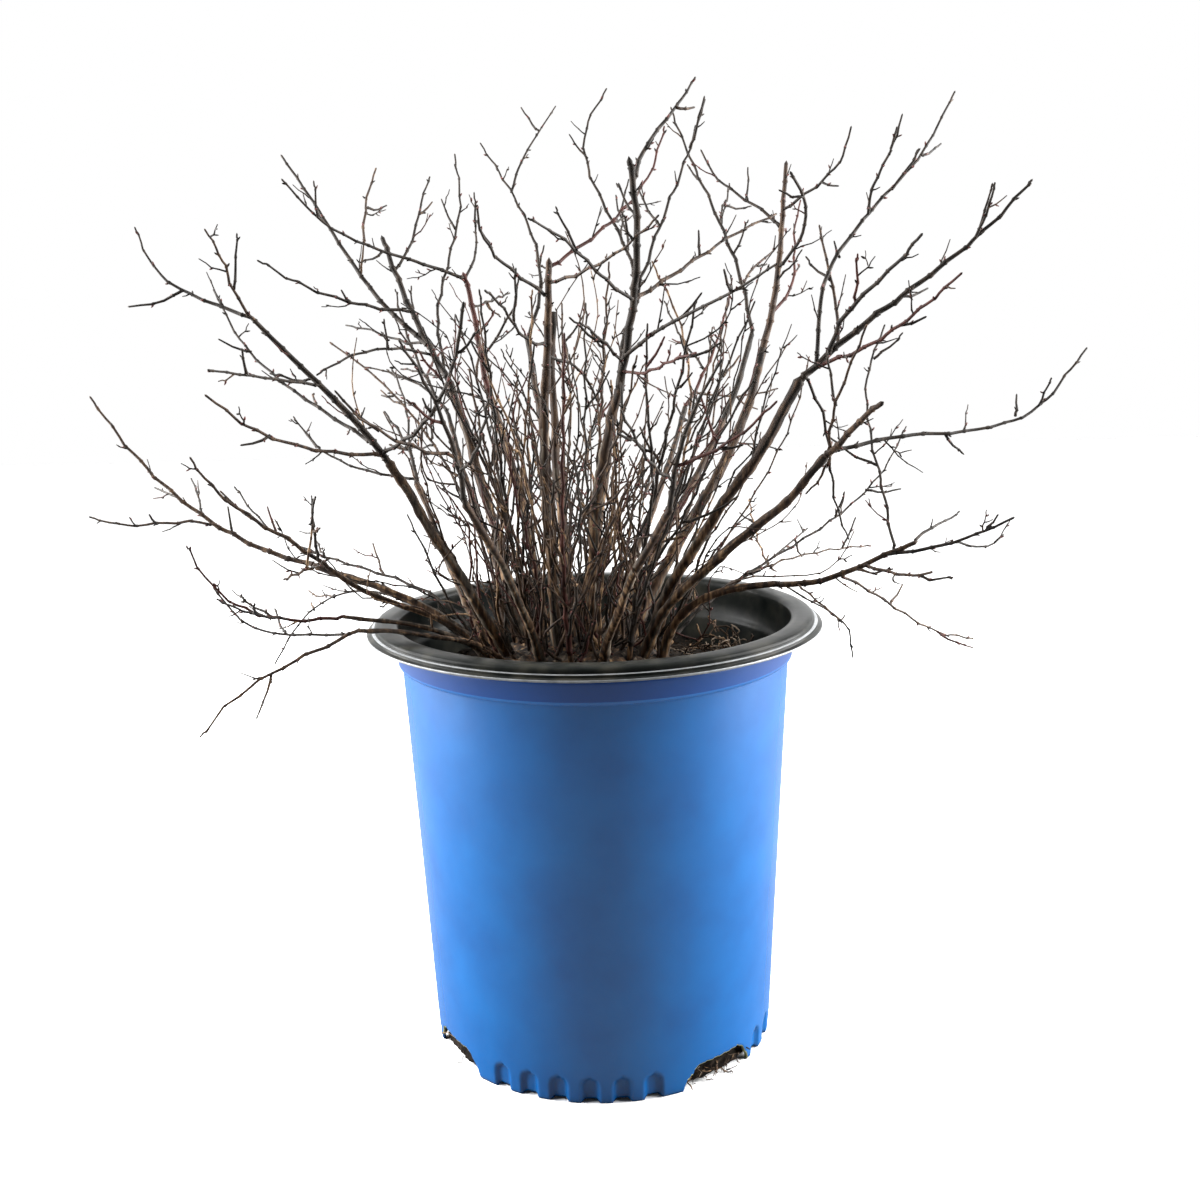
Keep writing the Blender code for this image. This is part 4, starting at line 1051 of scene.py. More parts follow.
def radius_at(path, radii, length):
    """The radius at a length along a path, from the radii at its points."""
    gone = 0.0
    for k in range(len(path) - 1):
        step = (path[k + 1] - path[k]).length
        if length <= gone + step or k == len(path) - 2:
            share = min(max((length - gone) / step, 0), 1)
            return radii[k] + (radii[k + 1] - radii[k]) * share
        gone += step


print("length of a bowed limb:", round(path_length(limb_path((0, 0, 0), (0, 0, 100), (5, 5), 6)), 1), "mm")

# %% [markdown]
# Shoots on a real plant push each other aside. That could be worked out for every pair, but it is
# simpler to leave out a bundle's shoot or a side twig that would touch another limb. `Space` keeps the
# room that is taken, so that each new one can be tried first, and a second rule keeps it clear of the
# pot and the mix.

# %% Keep the limbs clear of each other
LIMB_CLEARANCE = 0.35
CHECK_STEP = 1.5


class Space:
    """The room that the limbs take, so that a new one can be kept clear of the others."""

    def __init__(self):
        self.starts, self.ends, self.radii, self.owners = [], [], [], []

    def add(self, owner, path, radii):
        for a, b, r, s in zip(path, path[1:], radii, radii[1:]):
            self.starts.append(tuple(a))
            self.ends.append(tuple(b))
            self.radii.append(max(r, s))
            self.owners.append(owner)

    def clearance(self, owners, path, radii):
        """The least free distance from a path to every limb of other owners."""
        other = np.array([owner not in owners for owner in self.owners], bool)
        if not other.any():
            return math.inf
        a = np.array(self.starts)[other]
        along = np.array(self.ends)[other] - a
        radius = np.array(self.radii)[other]
        square = (along ** 2).sum(1)
        least = math.inf
        samples = max(int(path_length(path) / CHECK_STEP), 2)
        for k in range(samples + 1):
            point = np.array(point_at(path, k / samples)[0])
            share = np.clip(((point - a) * along).sum(1) / square, 0, 1)
            away = np.linalg.norm(a + along * share[:, None] - point, axis=1) - radius
            least = min(least, away.min() - max(radii))
        return least


def pot_clearance(path, radius):
    """The least free distance from a path to the pot's wall and lip, and to the mix."""
    section = [np.array(point) for point in ((POT_FOOT_RADIUS, 0), *pot_outline())]
    inner_radius = section[-2][0]
    least = math.inf
    samples = max(int(path_length(path) / CHECK_STEP), 2)
    for k in range(samples + 1):
        point, _ = point_at(path, k / samples)
        here = np.array((math.hypot(point.x, point.y), point.z))
        for a, b in zip(section, section[1:]):
            share = np.clip(np.dot(here - a, b - a) / np.dot(b - a, b - a), 0, 1)
            least = min(least, float(np.linalg.norm(a + (b - a) * share - here)) - radius)
        if here[0] < inner_radius:
            least = min(least, point.z - soil_height(point.x, point.y) - radius)
    return least


def is_free(name, path, radii, space):
    """Whether a limb stays clear of the limbs of other masses, the stems, the pot and the mix."""
    if space.clearance({name}, path, radii) <= LIMB_CLEARANCE:
        return False
    return pot_clearance(path, max(radii)) > GAP


print("least clearance kept:", LIMB_CLEARANCE, "mm")

# %% [markdown]
# A stem flares where it meets the crown, because old wood thickens at its foot. In the measured model
# its first stretch is part of the crown, and the free limb begins just beyond it.

# %% Plan the stems
STUB_LENGTH = 9.0
FOOT_SINK = 2.5
FOOT_FLARE = 0.35
FOOT_FLARE_LENGTH = 14.0
STEM_STEPS = 6
LEADER_STEPS = 6
BUNDLE_LEADER = ((3, 2), (2.4, 1.0))


def stem_plans():
    """Each stem's whole path from inside the crown to its tip, with its radii."""
    plans = {}
    rows = [(stem.name, stem.foot, stem.tip, stem.bows, stem.widths, STEM_STEPS) for stem in STEMS]
    for name, foot in FEET.items():
        leader = MASSES[name][0]
        rows.append((name, foot, leader.tip, leader.bows, leader.widths, LEADER_STEPS + 1))
    for bundle in BUNDLES:
        rows.append((bundle.name, bundle.foot, bundle.tip, *BUNDLE_LEADER, LEADER_STEPS))
    for name, (x, y), tip, bows, widths, steps in rows:
        path = limb_path((x, y, crown_height(x, y) - FOOT_SINK), tip, bows, steps)
        flares = [1 + FOOT_FLARE * math.exp(-gone / FOOT_FLARE_LENGTH) for gone in lengths_along(path)]
        plans[name] = (path, [radius * flare for radius, flare in zip(taper(widths, len(path)), flares)])
    return plans


def split_plan(path, radii):
    """The stub that stays on the crown, and the free limb beyond the gap."""
    parts = []
    for start, end in ((0, STUB_LENGTH), (STUB_LENGTH + GAP, path_length(path))):
        stretch = cut_path(path, start, end)
        sizes = [radius_at(path, radii, start + gone) for gone in lengths_along(stretch)]
        parts.append((stretch, sizes))
    return parts


def has_stem(name):
    """Whether a mass grows on from the tip of a stem, and not straight from the crown."""
    return any(name == stem.name for stem in STEMS)


print("stems and leaders planned:", len(stem_plans()))

# %% [markdown]
# The shoots of a bundle leave low on its stem and fan out, each turned from the last by the golden
# angle. Leaves grow in that order, so that each gets its own light, and buds and twigs follow it.

# %% Plan the shoots of a bundle
GOLDEN_ANGLE = 137.5
SHOOT_STEPS = 4
BUNDLE_ROOTS = (0.06, 0.36)
BUNDLE_REACH = (0.6, 1.0)
BUNDLE_RISE = (-110.0, 5.0)
BUNDLE_BOW = 4.0
BUNDLE_WIDTHS = (1.6, 0.9)
BUNDLE_TURN = 20


def two_ways(rng, most):
    """Two draws, each at most that far either way."""
    return rng.uniform(-most, most), rng.uniform(-most, most)


def bundle_shoots(bundle, leader, rng):
    """Slim shoots that leave the bundle's stem low down and end about as high as it, or lower."""
    shoots = []
    low, high = BUNDLE_ROOTS
    for k in range(bundle.shoots):
        start, _ = point_at(leader, low + (high - low) * k / bundle.shoots)
        turn = GOLDEN_ANGLE * k + rng.uniform(-BUNDLE_TURN, BUNDLE_TURN)
        x, y, _ = around(bundle.spread * rng.uniform(*BUNDLE_REACH), turn, 0)
        end = Vector(bundle.tip) + Vector((x, y, rng.uniform(*BUNDLE_RISE)))
        shoots.append(limb_path(start, end, two_ways(rng, BUNDLE_BOW), SHOOT_STEPS))
    return shoots


print("golden angle:", GOLDEN_ANGLE, "degrees")

# %% [markdown]
# Side twigs follow the same order along every shoot. Each leaves at an angle and lifts towards the
# light at its elbow, and twigs near a tip are shorter, since they are younger.

# %% Plan the side twigs
TWIG_SPACING = 39.0
TWIG_ZONE = (0.22, 0.92)
TWIG_LENGTHS = (10.0, 36.0)
TWIG_SHORTENING = 0.6
TWIG_WIDTHS = (1.5, 0.9)
TWIG_ANGLES = (30.0, 58.0)
TWIG_ELBOW = 0.45
TWIG_LIFT = 0.35


def bent_twig(path, share, turn, angle, reach, lift):
    """A twig that leaves a limb at an angle and lifts towards the light at its elbow."""
    root, axis = point_at(path, share)
    heading = (axis * math.cos(angle) + sideways(axis, turn) * math.sin(angle)).normalized()
    lifted = (heading + Vector((0, 0, lift))).normalized()
    elbow = root + heading * TWIG_ELBOW * reach
    return [root, elbow, elbow + lifted * (1 - TWIG_ELBOW) * reach]


def side_twigs(limbs, rng):
    """The side twigs of a mass, spaced along its shoots and turned by the golden angle."""
    low, high = TWIG_ZONE
    shortest, longest = TWIG_LENGTHS
    for path, _ in list(limbs):
        count = int((high - low) * path_length(path) / TWIG_SPACING)
        turn = rng.uniform(0, 2 * math.pi)
        for k in range(count):
            share = low + (high - low) * (k + rng.uniform(0.2, 0.8)) / count
            turn += math.radians(GOLDEN_ANGLE)
            angle = math.radians(rng.uniform(*TWIG_ANGLES))
            reach = shortest + (longest - shortest) * rng.random() * (1 - TWIG_SHORTENING * share)
            yield bent_twig(path, share, turn, angle, reach, TWIG_LIFT)


def tips_box():
    """The corners that no twig leaves: those of the listed tips."""
    tips = [shoot.tip for mass in MASSES.values() for shoot in mass]
    return [(min(tip[k] for tip in tips), max(tip[k] for tip in tips)) for k in range(3)]


print("box of the listed tips:", tips_box())

# %% [markdown]
# Now the whole plant is planned before any of it is made: the stems first, then the listed shoots, the
# bundles and the side twigs. The order matters, because a limb that comes later gives way.

# %% Plan the whole plant
SEED = 7


def shoot_start(row, stem, limbs):
    """Where a shoot begins: clear of the tip of its stem, or on the limb that it leaves."""
    if row.leaves is None:
        return stem[-1] + (stem[-1] - stem[-2]).normalized() * GAP
    return point_at(limbs[row.leaves][0], row.share)[0]


def plan_masses(plans, space):
    """The listed shoots of every mass, each as a path with its radii."""
    shoots = {}
    for name, rows in MASSES.items():
        stem = plans[name]
        shoots[name] = []
        for row in rows:
            if row.leaves is None and name in FEET:
                path, radii = split_plan(*stem)[1]
            else:
                steps = LEADER_STEPS if row.leaves is None else SHOOT_STEPS
                start = shoot_start(row, stem[0], shoots[name])
                path = limb_path(start, row.tip, row.bows, steps)
                radii = taper(row.widths, len(path))
            shoots[name].append((path, radii))
            space.add(name, path, radii)
    return shoots


def plan_bundles(plans, space, shoots, rng):
    for bundle in BUNDLES:
        leader, radii = split_plan(*plans[bundle.name])[1]
        shoots[bundle.name] = [(leader, radii)]
        space.add(bundle.name, leader, radii)
        for path in bundle_shoots(bundle, leader, rng):
            radii = taper(BUNDLE_WIDTHS, len(path))
            if is_free(bundle.name, path, radii, space):
                shoots[bundle.name].append((path, radii))
                space.add(bundle.name, path, radii)


def add_side_twigs(space, shoots):
    """Side twigs on every mass, skipped where they leave the box of the tips or touch another limb."""
    box = tips_box()
    for number, (name, limbs) in enumerate(shoots.items()):
        rng = random.Random(SEED * 1000 + number)
        for path in side_twigs(limbs, rng):
            radii = taper(TWIG_WIDTHS, len(path))
            inside = all(low <= value <= high for value, (low, high) in zip(path[-1], box))
            if inside and is_free(name, path, radii, space):
                limbs.append((path, radii))
                space.add(name, path, radii)


def plan_limbs():
    """Every limb of the plant, planned before any is made, so that all stay clear."""
    plans = stem_plans()
    space = Space()
    for name, (path, radii) in plans.items():
        stub, limb = split_plan(path, radii)
        space.add("crown", *stub)
        if has_stem(name):
            space.add(f"stem_{name}", *limb)
    shoots = plan_masses(plans, space)
    plan_bundles(plans, space, shoots, random.Random(SEED))
    add_side_twigs(space, shoots)
    return plans, shoots


PLANS, SHOOTS = plan_limbs()
print("limbs in the masses:", sum(len(limbs) for limbs in SHOOTS.values()))

# %% [markdown]
# ## Real twigs from plain limbs
# Every twig, root and stem is a tube round a path. A curve with a bevel would do for smooth ones, but
# bark needs rings that can be shaped. So the rings are made here, and carried along the path without
# twist, so that no edge winds round the limb.

# %% Make a tube round a path
TIP_SHARP = 1.6
TIP_BLUNT = 0.15


def smooth_path(path, spacing):
    """Points about one spacing apart on a smooth curve through the path's points."""
    points = [path[0] * 2 - path[1], *path, path[-1] * 2 - path[-2]]
    curve = []
    for a, b, c, d in zip(points, points[1:], points[2:], points[3:]):
        count = max(int(round((c - b).length / spacing)), 1)
        for k in range(count):
            t = k / count
            curve.append(0.5 * (2 * b + (c - a) * t + (2 * a - 5 * b + 4 * c - d) * t * t
                                + (3 * b - a - 3 * c + d) * t ** 3))
    curve.append(path[-1].copy())
    return curve


def tube_rings(path, radii, sides, roll, shape=None):
    """Rings of points carried along a path without twist, each point moved out or in by the shape."""
    direction = (path[1] - path[0]).normalized()
    first, second = across(direction)
    points = []
    for k, (centre, radius) in enumerate(zip(path, radii)):
        ahead = (path[min(k + 1, len(path) - 1)] - path[max(k - 1, 0)]).normalized()
        turn = direction.rotation_difference(ahead)
        direction, first, second = ahead, turn @ first, turn @ second
        for j in range(sides):
            angle = roll + 2 * math.pi * j / sides
            size = radius * (shape(k, j) if shape else 1)
            points.append(centre + (first * math.cos(angle) + second * math.sin(angle)) * size)
    return points


def tint_of(ring, column):
    """The finish of one face: a ring has one finish, or one for each column."""
    return ring if isinstance(ring, int) else ring[column]


def add_tube(store, path, radii, sides, tints, roll=0.0, shape=None, blunt=False):
    """Writes a closed limb into the store: tints gives the finish of each ring of faces."""
    points = tube_rings(path, radii, sides, roll, shape)
    faces = ring_faces(len(path), sides)
    marks = [tint_of(tints[k // sides], k % sides) for k in range(len(faces))]
    foot, tip = len(points), len(points) + 1
    out = (path[-1] - path[-2]).normalized()
    points += [path[0], path[-1] + out * radii[-1] * (TIP_BLUNT if blunt else TIP_SHARP)]
    last = (len(path) - 1) * sides
    for k in range(sides):
        beside = (k + 1) % sides
        faces.append((beside, k, foot))
        faces.append((last + k, last + beside, tip))
        marks += [tint_of(tints[0], k), tint_of(tints[-1], k)]
    store.add(points, faces, marks)


print("a tip reaches", TIP_SHARP, "radii beyond its last ring")

# %% [markdown]
# A spirea twig isn't a smooth tube. It turns a little at every bud, left and right by turns, it is
# thicker at each of these nodes, and it ends in a point. Noise could bend it, but not at the buds. So
# each planned limb is walked from node to node: the centre steps aside at a node, and the radius
# swells there.

# %% Knot a twig at its nodes
NODE_SPACING = (7.0, 13.0)
NODE_KINK = 0.55
NODE_SWELLING = 1.38
NODE_HALF = 1.2
NODE_HALF_SHARE = 0.2
NODE_TOP = 1.02
FIRST_NODE = (2.0, 6.0)
LAST_NODE = 2.0
KINK_SPREAD = (0.5, 1.3)
STIFF_RADIUS = 1.1


def node_marks(total, rng):
    """The lengths along a twig at which its nodes sit."""
    marks, gone = [], rng.uniform(*FIRST_NODE)
    while gone < total - LAST_NODE:
        marks.append(gone)
        gone += rng.uniform(*NODE_SPACING)
    return marks


def knotted(path, radii, rng):
    """A path with a turn at each node, its radii with a swelling there, and the nodes' places."""
    total = path_length(path)
    ends = [0.0, *node_marks(total, rng), total]
    aside = sideways((path[-1] - path[0]).normalized(), rng.uniform(0, 2 * math.pi))
    centres, sizes, nodes = [path[0].copy()], [radii[0]], []
    sign = 1
    for start, end in zip(ends, ends[1:]):
        middle = 0.5 * (start + end)
        centres.append(point_at(path, middle / total)[0])
        sizes.append(radius_at(path, radii, middle))
        point, _ = point_at(path, end / total)
        radius = radius_at(path, radii, end)
        if end == total:
            centres.append(point)
            sizes.append(radius)
            continue
        kink = NODE_KINK * min(1.0, STIFF_RADIUS / radius) * rng.uniform(*KINK_SPREAD)
        point = point + aside * sign * kink
        sign = -sign
        ahead = point - centres[-1]
        step = ahead.normalized() * min(NODE_HALF, NODE_HALF_SHARE * ahead.length)
        centres += [point - step, point, point + step]
        sizes += [radius, radius * NODE_SWELLING, radius * NODE_TOP]
        nodes.append((point, step.normalized(), radius))
    return centres, sizes, nodes


print("a node every", NODE_SPACING, "mm")

# %% [markdown]
# Buds sit at the nodes, one after another round the twig by the golden angle. They are small pointed
# scales, most of them red, and they are what gives a winter twig its toothed outline. Four sides are
# enough for a thing three millimetres long.

# %% Shape a bud
BUD_SIDES = 4
BUD_SECTION = ((0.0, 0.55), (0.35, 1.0), (0.7, 0.7))
BUD_LENGTHS = (1.7, 3.1)
BUD_WIDTHS = (0.38, 0.58)
BUD_LEAN = (0.45, 0.8)
BUD_ALONG = 0.85
BUD_SEAT = 0.6


def add_bud(store, place, axis, radius, turn, rng, tint):
    out = sideways(axis, turn)
    aim = (axis * BUD_ALONG + out * rng.uniform(*BUD_LEAN)).normalized()
    length = rng.uniform(*BUD_LENGTHS)
    width = rng.uniform(*BUD_WIDTHS)
    base = place + out * radius * BUD_SEAT
    path = [base + aim * length * along for along, _ in BUD_SECTION]
    add_tube(store, path, [width * size for _, size in BUD_SECTION], BUD_SIDES, [tint] * len(path), turn)


print("buds are", BUD_LENGTHS, "mm long")

# %% [markdown]
# ## Stems and crown
# The old wood shows most. Its bark splits into ridges that drift slowly round the stem. A bump in the
# finish would leave the outline smooth, so the tube of a stem gets a real relief, and light catches on
# real edges. The bark is tan or grey near the crown, browner further out and dark at the ends. The
# finish is picked face by face from a noise, so the border between two finishes is ragged and runs in
# streaks.

# %% Write the relief and the colours of old bark
STEM_SIDES = 12
RIDGES = 4
RIDGE_DRIFT = 0.05
BARK_RELIEF = 0.17
RIDGE_PART = 0.5
CRACK_PART = 1.6
CRACK_ACROSS = 0.9
CRACK_ALONG = 0.22
PALE_REACH = 105.0
BROWN_REACH = 175.0
BORDER_WANDER = 55
STREAK_LENGTH = 60
GREY_BELOW = -0.05
TAN, BROWN, DARK, GREY = range(4)


def bark_relief(seed):
    """Ridges that drift round the stem as they run up it, broken by noise."""
    def shape(k, j):
        ridge = math.sin(2 * math.pi * j / STEM_SIDES * RIDGES + RIDGE_DRIFT * k + seed)
        crack = noise.noise(Vector((j * CRACK_ACROSS + seed * 7, k * CRACK_ALONG, seed)))
        return 1 + BARK_RELIEF * (RIDGE_PART * ridge + CRACK_PART * crack)
    return shape


def reach_of(point):
    """How far a place is from the middle of the crown."""
    return (Vector(point) - Vector((*CROWN_CENTRE, SOIL_MIDDLE))).length


def old_wood_tint(point, seed, column=0):
    """Tan or grey in streaks near the crown, then brown, then dark, with a ragged border."""
    turn = 2 * math.pi * column / STEM_SIDES
    side = Vector((1.2 * math.cos(turn) + seed * 3.1, 1.2 * math.sin(turn), point[2] / STREAK_LENGTH))
    reach = reach_of(point) + BORDER_WANDER * noise.noise(side)
    if reach < PALE_REACH:
        return TAN if noise.noise(side * 1.7 + Vector((0, 0, 9))) > GREY_BELOW else GREY
    return BROWN if reach < BROWN_REACH else DARK


print("bark stands up by", BARK_RELIEF, "of the radius")

# %% [markdown]
# A stem is walked in short rings. It sways a little, except at its two ends, where it has to meet the
# crown and its first twig, and old nodes still show as slight rings round it.

# %% Grow one stem
STEM_RING = 2.2
STEM_SWAY = 0.55
STEM_SWAY_LENGTH = 8.5
STEM_FIRST_NODE = (10, 18)
STEM_NODE_SPACING = (12, 22)
STEM_NODE_SWELLING = 1.14
STILL_FOOT = 20
STILL_TIP = 14


def stem_sway(gone, total, seed):
    """How far a stem stands aside at a length along it: not at all at its foot and its tip."""
    sway = STEM_SWAY * math.sin(gone / STEM_SWAY_LENGTH + seed)
    return sway * eased(gone, 0, STILL_FOOT) * (1 - eased(gone, total - STILL_TIP, total))


def grow_stem(store, path, radii, seed, rng, blunt):
    total = path_length(path)
    fine = smooth_path(path, STEM_RING)
    lengths = lengths_along(fine)
    next_node = rng.uniform(*STEM_FIRST_NODE)
    aside = sideways((path[-1] - path[0]).normalized(), rng.uniform(0, 2 * math.pi))
    centres, sizes = [], []
    for point, gone in zip(fine, lengths):
        radius = radius_at(path, radii, min(gone * total / lengths[-1], total))
        centres.append(point + aside * stem_sway(gone, total, seed))
        sizes.append(radius * (STEM_NODE_SWELLING if abs(gone - next_node) <= STEM_RING else 1))
        if gone > next_node + STEM_RING:
            next_node += rng.uniform(*STEM_NODE_SPACING)
    tints = [[old_wood_tint(point, seed, j) for j in range(STEM_SIDES)] for point in centres]
    add_tube(store, centres, sizes, STEM_SIDES, tints, seed, bark_relief(seed), blunt)


print("rings every", STEM_RING, "mm along a stem")

# %% [markdown]
# The crown is the knuckle of old wood that all the stems leave. It is a low mound with burls: a coarse
# noise for the knuckles and a fine one for the cracks. Each of its faces gets one of the four barks at
# random. The crown and all the stems are gathered into one piece.

# %% Make the crown and the stems
CROWN_ROWS = 26
CROWN_COLUMNS = 90
CROWN_RIM_SINK = 4.0
KNUCKLE_SIZE = 7.0
KNUCKLE_HEIGHT = 3.2
CRACK_HEIGHT = 0.9
CROWN_CHANCES = (2, 4, 4, 3)
STUB_SIDES = 7
STEM_SEED = 100


def add_crown(store):
    points = []
    for row in range(CROWN_ROWS):
        share = 1 - row / CROWN_ROWS
        for k in range(CROWN_COLUMNS):
            x, y = on_crown(share, 2 * math.pi * k / CROWN_COLUMNS)
            knuckles = rough(x, y, 1.0, KNUCKLE_SIZE, KNUCKLE_HEIGHT)
            burl = knuckles + rough(x * 3, y * 3, 5.0, 6.0, CRACK_HEIGHT)
            height = crown_height(x, y) + burl * eased(row, 0, 3)
            points.append(Vector((x, y, height if row else height - CROWN_RIM_SINK)))
    faces = ring_faces(CROWN_ROWS, CROWN_COLUMNS)
    faces.append(tuple((CROWN_ROWS - 1) * CROWN_COLUMNS + k for k in range(CROWN_COLUMNS)))
    faces.append(tuple(range(CROWN_COLUMNS - 1, -1, -1)))
    rng = random.Random(5)
    store.add(points, faces, [rng.choices((TAN, BROWN, DARK, GREY), CROWN_CHANCES)[0] for _ in faces])


def make_old_wood():
    wood = Gatherer((BARK_TAN, BARK_BROWN, BARK_DARK, BARK_GREY))
    add_crown(wood)
    for number, (name, (path, radii)) in enumerate(PLANS.items()):
        if has_stem(name):
            whole = [path[0], *cut_path(path, 2.0, path_length(path))[1:]]
            sizes = [radius_at(path, radii, gone) for gone in lengths_along(whole)]
            rng = random.Random(STEM_SEED + number)
            grow_stem(wood, whole, sizes, number * 0.7, rng, name not in SHOOTS)
        else:
            stub, sizes = split_plan(path, radii)[0]
            add_tube(wood, stub, sizes, STUB_SIDES, [old_wood_tint(point, number) for point in stub])
    wood.make("old_wood", ["crown"] + [f"stem_{stem.name}" for stem in STEMS])


make_old_wood()

# %% [markdown]
# ## The masses of twigs
# The limbs of the plan are grown as knotted twigs, and then finer twigs leave them by the same rule
# with shorter lengths. Short ones are far more common than long ones, as on the real plant, where most
# side shoots are spurs of a few millimetres. A fine twig that would leave the box of the listed tips,
# or reach the pot, is skipped.

# %% Find places for fine twigs
FINE_SPACING = 34.0
FINE_LENGTHS = (4.0, 30.0)
FINE_ANGLES = (32, 62)
FINE_LIFT = 0.3
FINE_RARITY = 1.7
FINE_SHORTENING = 0.7
FINE_FIRST = (0.4, 1.0)
FINE_LAST = 3
FINE_UNEVENNESS = (0.5, 1.5)
ROOM_MARGIN = 0.6
ROOM = tips_box()


def inside_room(point):
    return all(low + ROOM_MARGIN <= value <= high - ROOM_MARGIN for value, (low, high) in zip(point, ROOM))


def over_pot(point):
    """Whether a point is well clear of the lip and of the mix."""
    away = math.hypot(point[0], point[1])
    if away > POT_LIP_RADIUS + 3:
        return True
    if away > 99:
        return point[2] > POT_LIP_HEIGHT + 2
    return point[2] > crown_height(point[0], point[1]) + 1


def fine_twigs(path, rng, reach_share=1.0, spacing=FINE_SPACING):
    """Short twigs along a limb, turned by the golden angle and lifted towards the light."""
    total = path_length(path)
    gone = rng.uniform(*FINE_FIRST) * spacing
    turn = rng.uniform(0, 2 * math.pi)
    low, high = FINE_LENGTHS
    while gone < total - FINE_LAST:
        turn += math.radians(GOLDEN_ANGLE)
        angle = math.radians(rng.uniform(*FINE_ANGLES))
        growth = rng.random() ** FINE_RARITY * (1 - FINE_SHORTENING * gone / total)
        reach = (low + (high - low) * growth) * reach_share
        twig = bent_twig(path, gone / total, turn, angle, reach, FINE_LIFT)
        if inside_room(twig[-1]) and over_pot(twig[-1]):
            yield twig
        gone += spacing * rng.uniform(*FINE_UNEVENNESS)


print("fine twigs are", FINE_LENGTHS, "mm long")

# %% [markdown]
# A twig gets one finish over its whole length. It is drawn by chance, and the chances change with the
# distance from the crown: mostly brown near it, mostly dark far out, and now and then red. Each row
# of chances holds as far out as the reach before it, for tan, brown, dark and red by turns.

# %% Grow one twig with its buds
BUD_CHANCE = 0.8
TWIG_BARKS = (BARK_TAN, BARK_BROWN, BARK_DARK, TWIG_RED)
TWIG_CHANCES = ((PALE_REACH, (2, 5, 3, 2)), (BROWN_REACH, (1, 5, 5, 1)), (math.inf, (0, 2, 9, 1)))
BUD_SKINS = (BUD_RED, BARK_DARK)
BUD_CHANCES = (3, 2)


def twig_tint(point, rng):
    """The finish of a whole twig: mostly dark, brown further in, a few red."""
    reach = reach_of(point)
    chances = next(row for limit, row in TWIG_CHANCES if reach < limit)
    return rng.choices(range(len(TWIG_BARKS)), chances)[0]


def grow_twig(store, buds, path, radii, sides, rng):
    centres, sizes, nodes = knotted(path, radii, rng)
    tint = twig_tint(path[len(path) // 2], rng)
    add_tube(store, centres, sizes, sides, [tint] * len(centres), rng.uniform(0, 6))
    turn = rng.uniform(0, 6)
    for place, axis, radius in nodes:
        turn += math.radians(GOLDEN_ANGLE)
        if rng.random() < BUD_CHANCE:
            add_bud(buds, place, axis, radius, turn, rng, rng.choices((0, 1), BUD_CHANCES)[0])


print("nodes that carry a bud:", BUD_CHANCE)

# %% [markdown]
# Each mass is walked limb by limb: the planned limb, the fine twigs on it, and the finest on those.
# The first limb of a mass starts a little inside the tip of its stem, so that no gap shows. The
# masses are joined by the side of the plant that they are on, which keeps each piece light.

# %% Grow the masses
GROUPS = {
    "twigs_left_side": ("left_",),
    "twigs_middle": ("middle_", "bundle_"),
    "twigs_right_side": ("right_",),
    "twigs_round": ("back_", "front_"),
}
FINE_WIDTHS = (0.9, 0.5)
FINEST_WIDTHS = (0.7, 0.45)
FINEST_SHARE = 0.4
FINEST_SPACING = 16.0
JOINT_OVERLAP = 1.2
LIMB_RING = 7.0
THICK_RADIUS = 1.2
THICK_SIDES, SLIM_SIDES, FINE_SIDES, FINEST_SIDES = 8, 6, 5, 4
MASS_SEED = 1000


def grow_mass(store, buds, name, limbs, rng):
    for number, (path, radii) in enumerate(limbs):
        path = [point.copy() for point in path]
        if number == 0 and has_stem(name):
            path[0] = path[0] - (path[1] - path[0]).normalized() * JOINT_OVERLAP
        curve = smooth_path(path, LIMB_RING) if len(path) > 3 else path
        sizes = [radius_at(path, radii, gone) for gone in lengths_along(curve)]
        sides = THICK_SIDES if radii[0] > THICK_RADIUS else SLIM_SIDES
        grow_twig(store, buds, curve, sizes, sides, rng)
        for fine in fine_twigs(curve, rng):
            grow_twig(store, buds, fine, taper(FINE_WIDTHS, len(fine)), FINE_SIDES, rng)
            for finest in fine_twigs(fine, rng, FINEST_SHARE, FINEST_SPACING):
                grow_twig(store, buds, finest, taper(FINEST_WIDTHS, len(finest)), FINEST_SIDES, rng)


def make_masses():
    for count, (group, starts) in enumerate(GROUPS.items()):
        store = Gatherer(TWIG_BARKS)
        buds = Gatherer(BUD_SKINS)
        names = [name for name in SHOOTS if name.startswith(starts)]
        for number, name in enumerate(names):
            grow_mass(store, buds, name, SHOOTS[name], random.Random(MASS_SEED + 50 * count + number))
        store.make(group, [f"twigs_{name}" for name in names])
        buds.make(group.replace("twigs", "buds"))


make_masses()

# %% [markdown]
# ## The thicket at the foot
# Between the stems a spirea sends up many thin shoots every year. They fill the middle just over the
# pot and thin out upwards. They start on the crown, lean outwards as their foot lies further from the
# middle, and carry a few short twigs and buds. Weaker threads leave the stems and wander across the
# others. Both are too thin to be solids of their own, so they only grow here.

# %% Place the thin shoots
THICKET_COUNT = 108
THICKET_LENGTHS = (45.0, 180.0)
THICKET_WIDTHS = (1.2, 2.1)
THICKET_LEAN = 0.22
THICKET_BOW = 9
THICKET_ROOM = (150, 130)
THICKET_TOP = 425
THICKET_FOOTING = 0.92
THICKET_RARITY = 1.6
THICKET_FAN = (0.003, 0.014)
THICKET_SINK = 1.5
THICKET_TIP_WIDTH = 0.7
THREAD_COUNT = 110
THREAD_LENGTHS = (45.0, 135.0)
THREAD_WIDTHS = (0.8, 1.3)
THREAD_ROOTS = (0.08, 0.95)
THREAD_BOW = 13
THREAD_RISE = (-0.1, 0.5)
THREAD_STRAY = (0.3, 0.9)
THREAD_TIP_WIDTH = 0.5
THIN_STEPS = 6


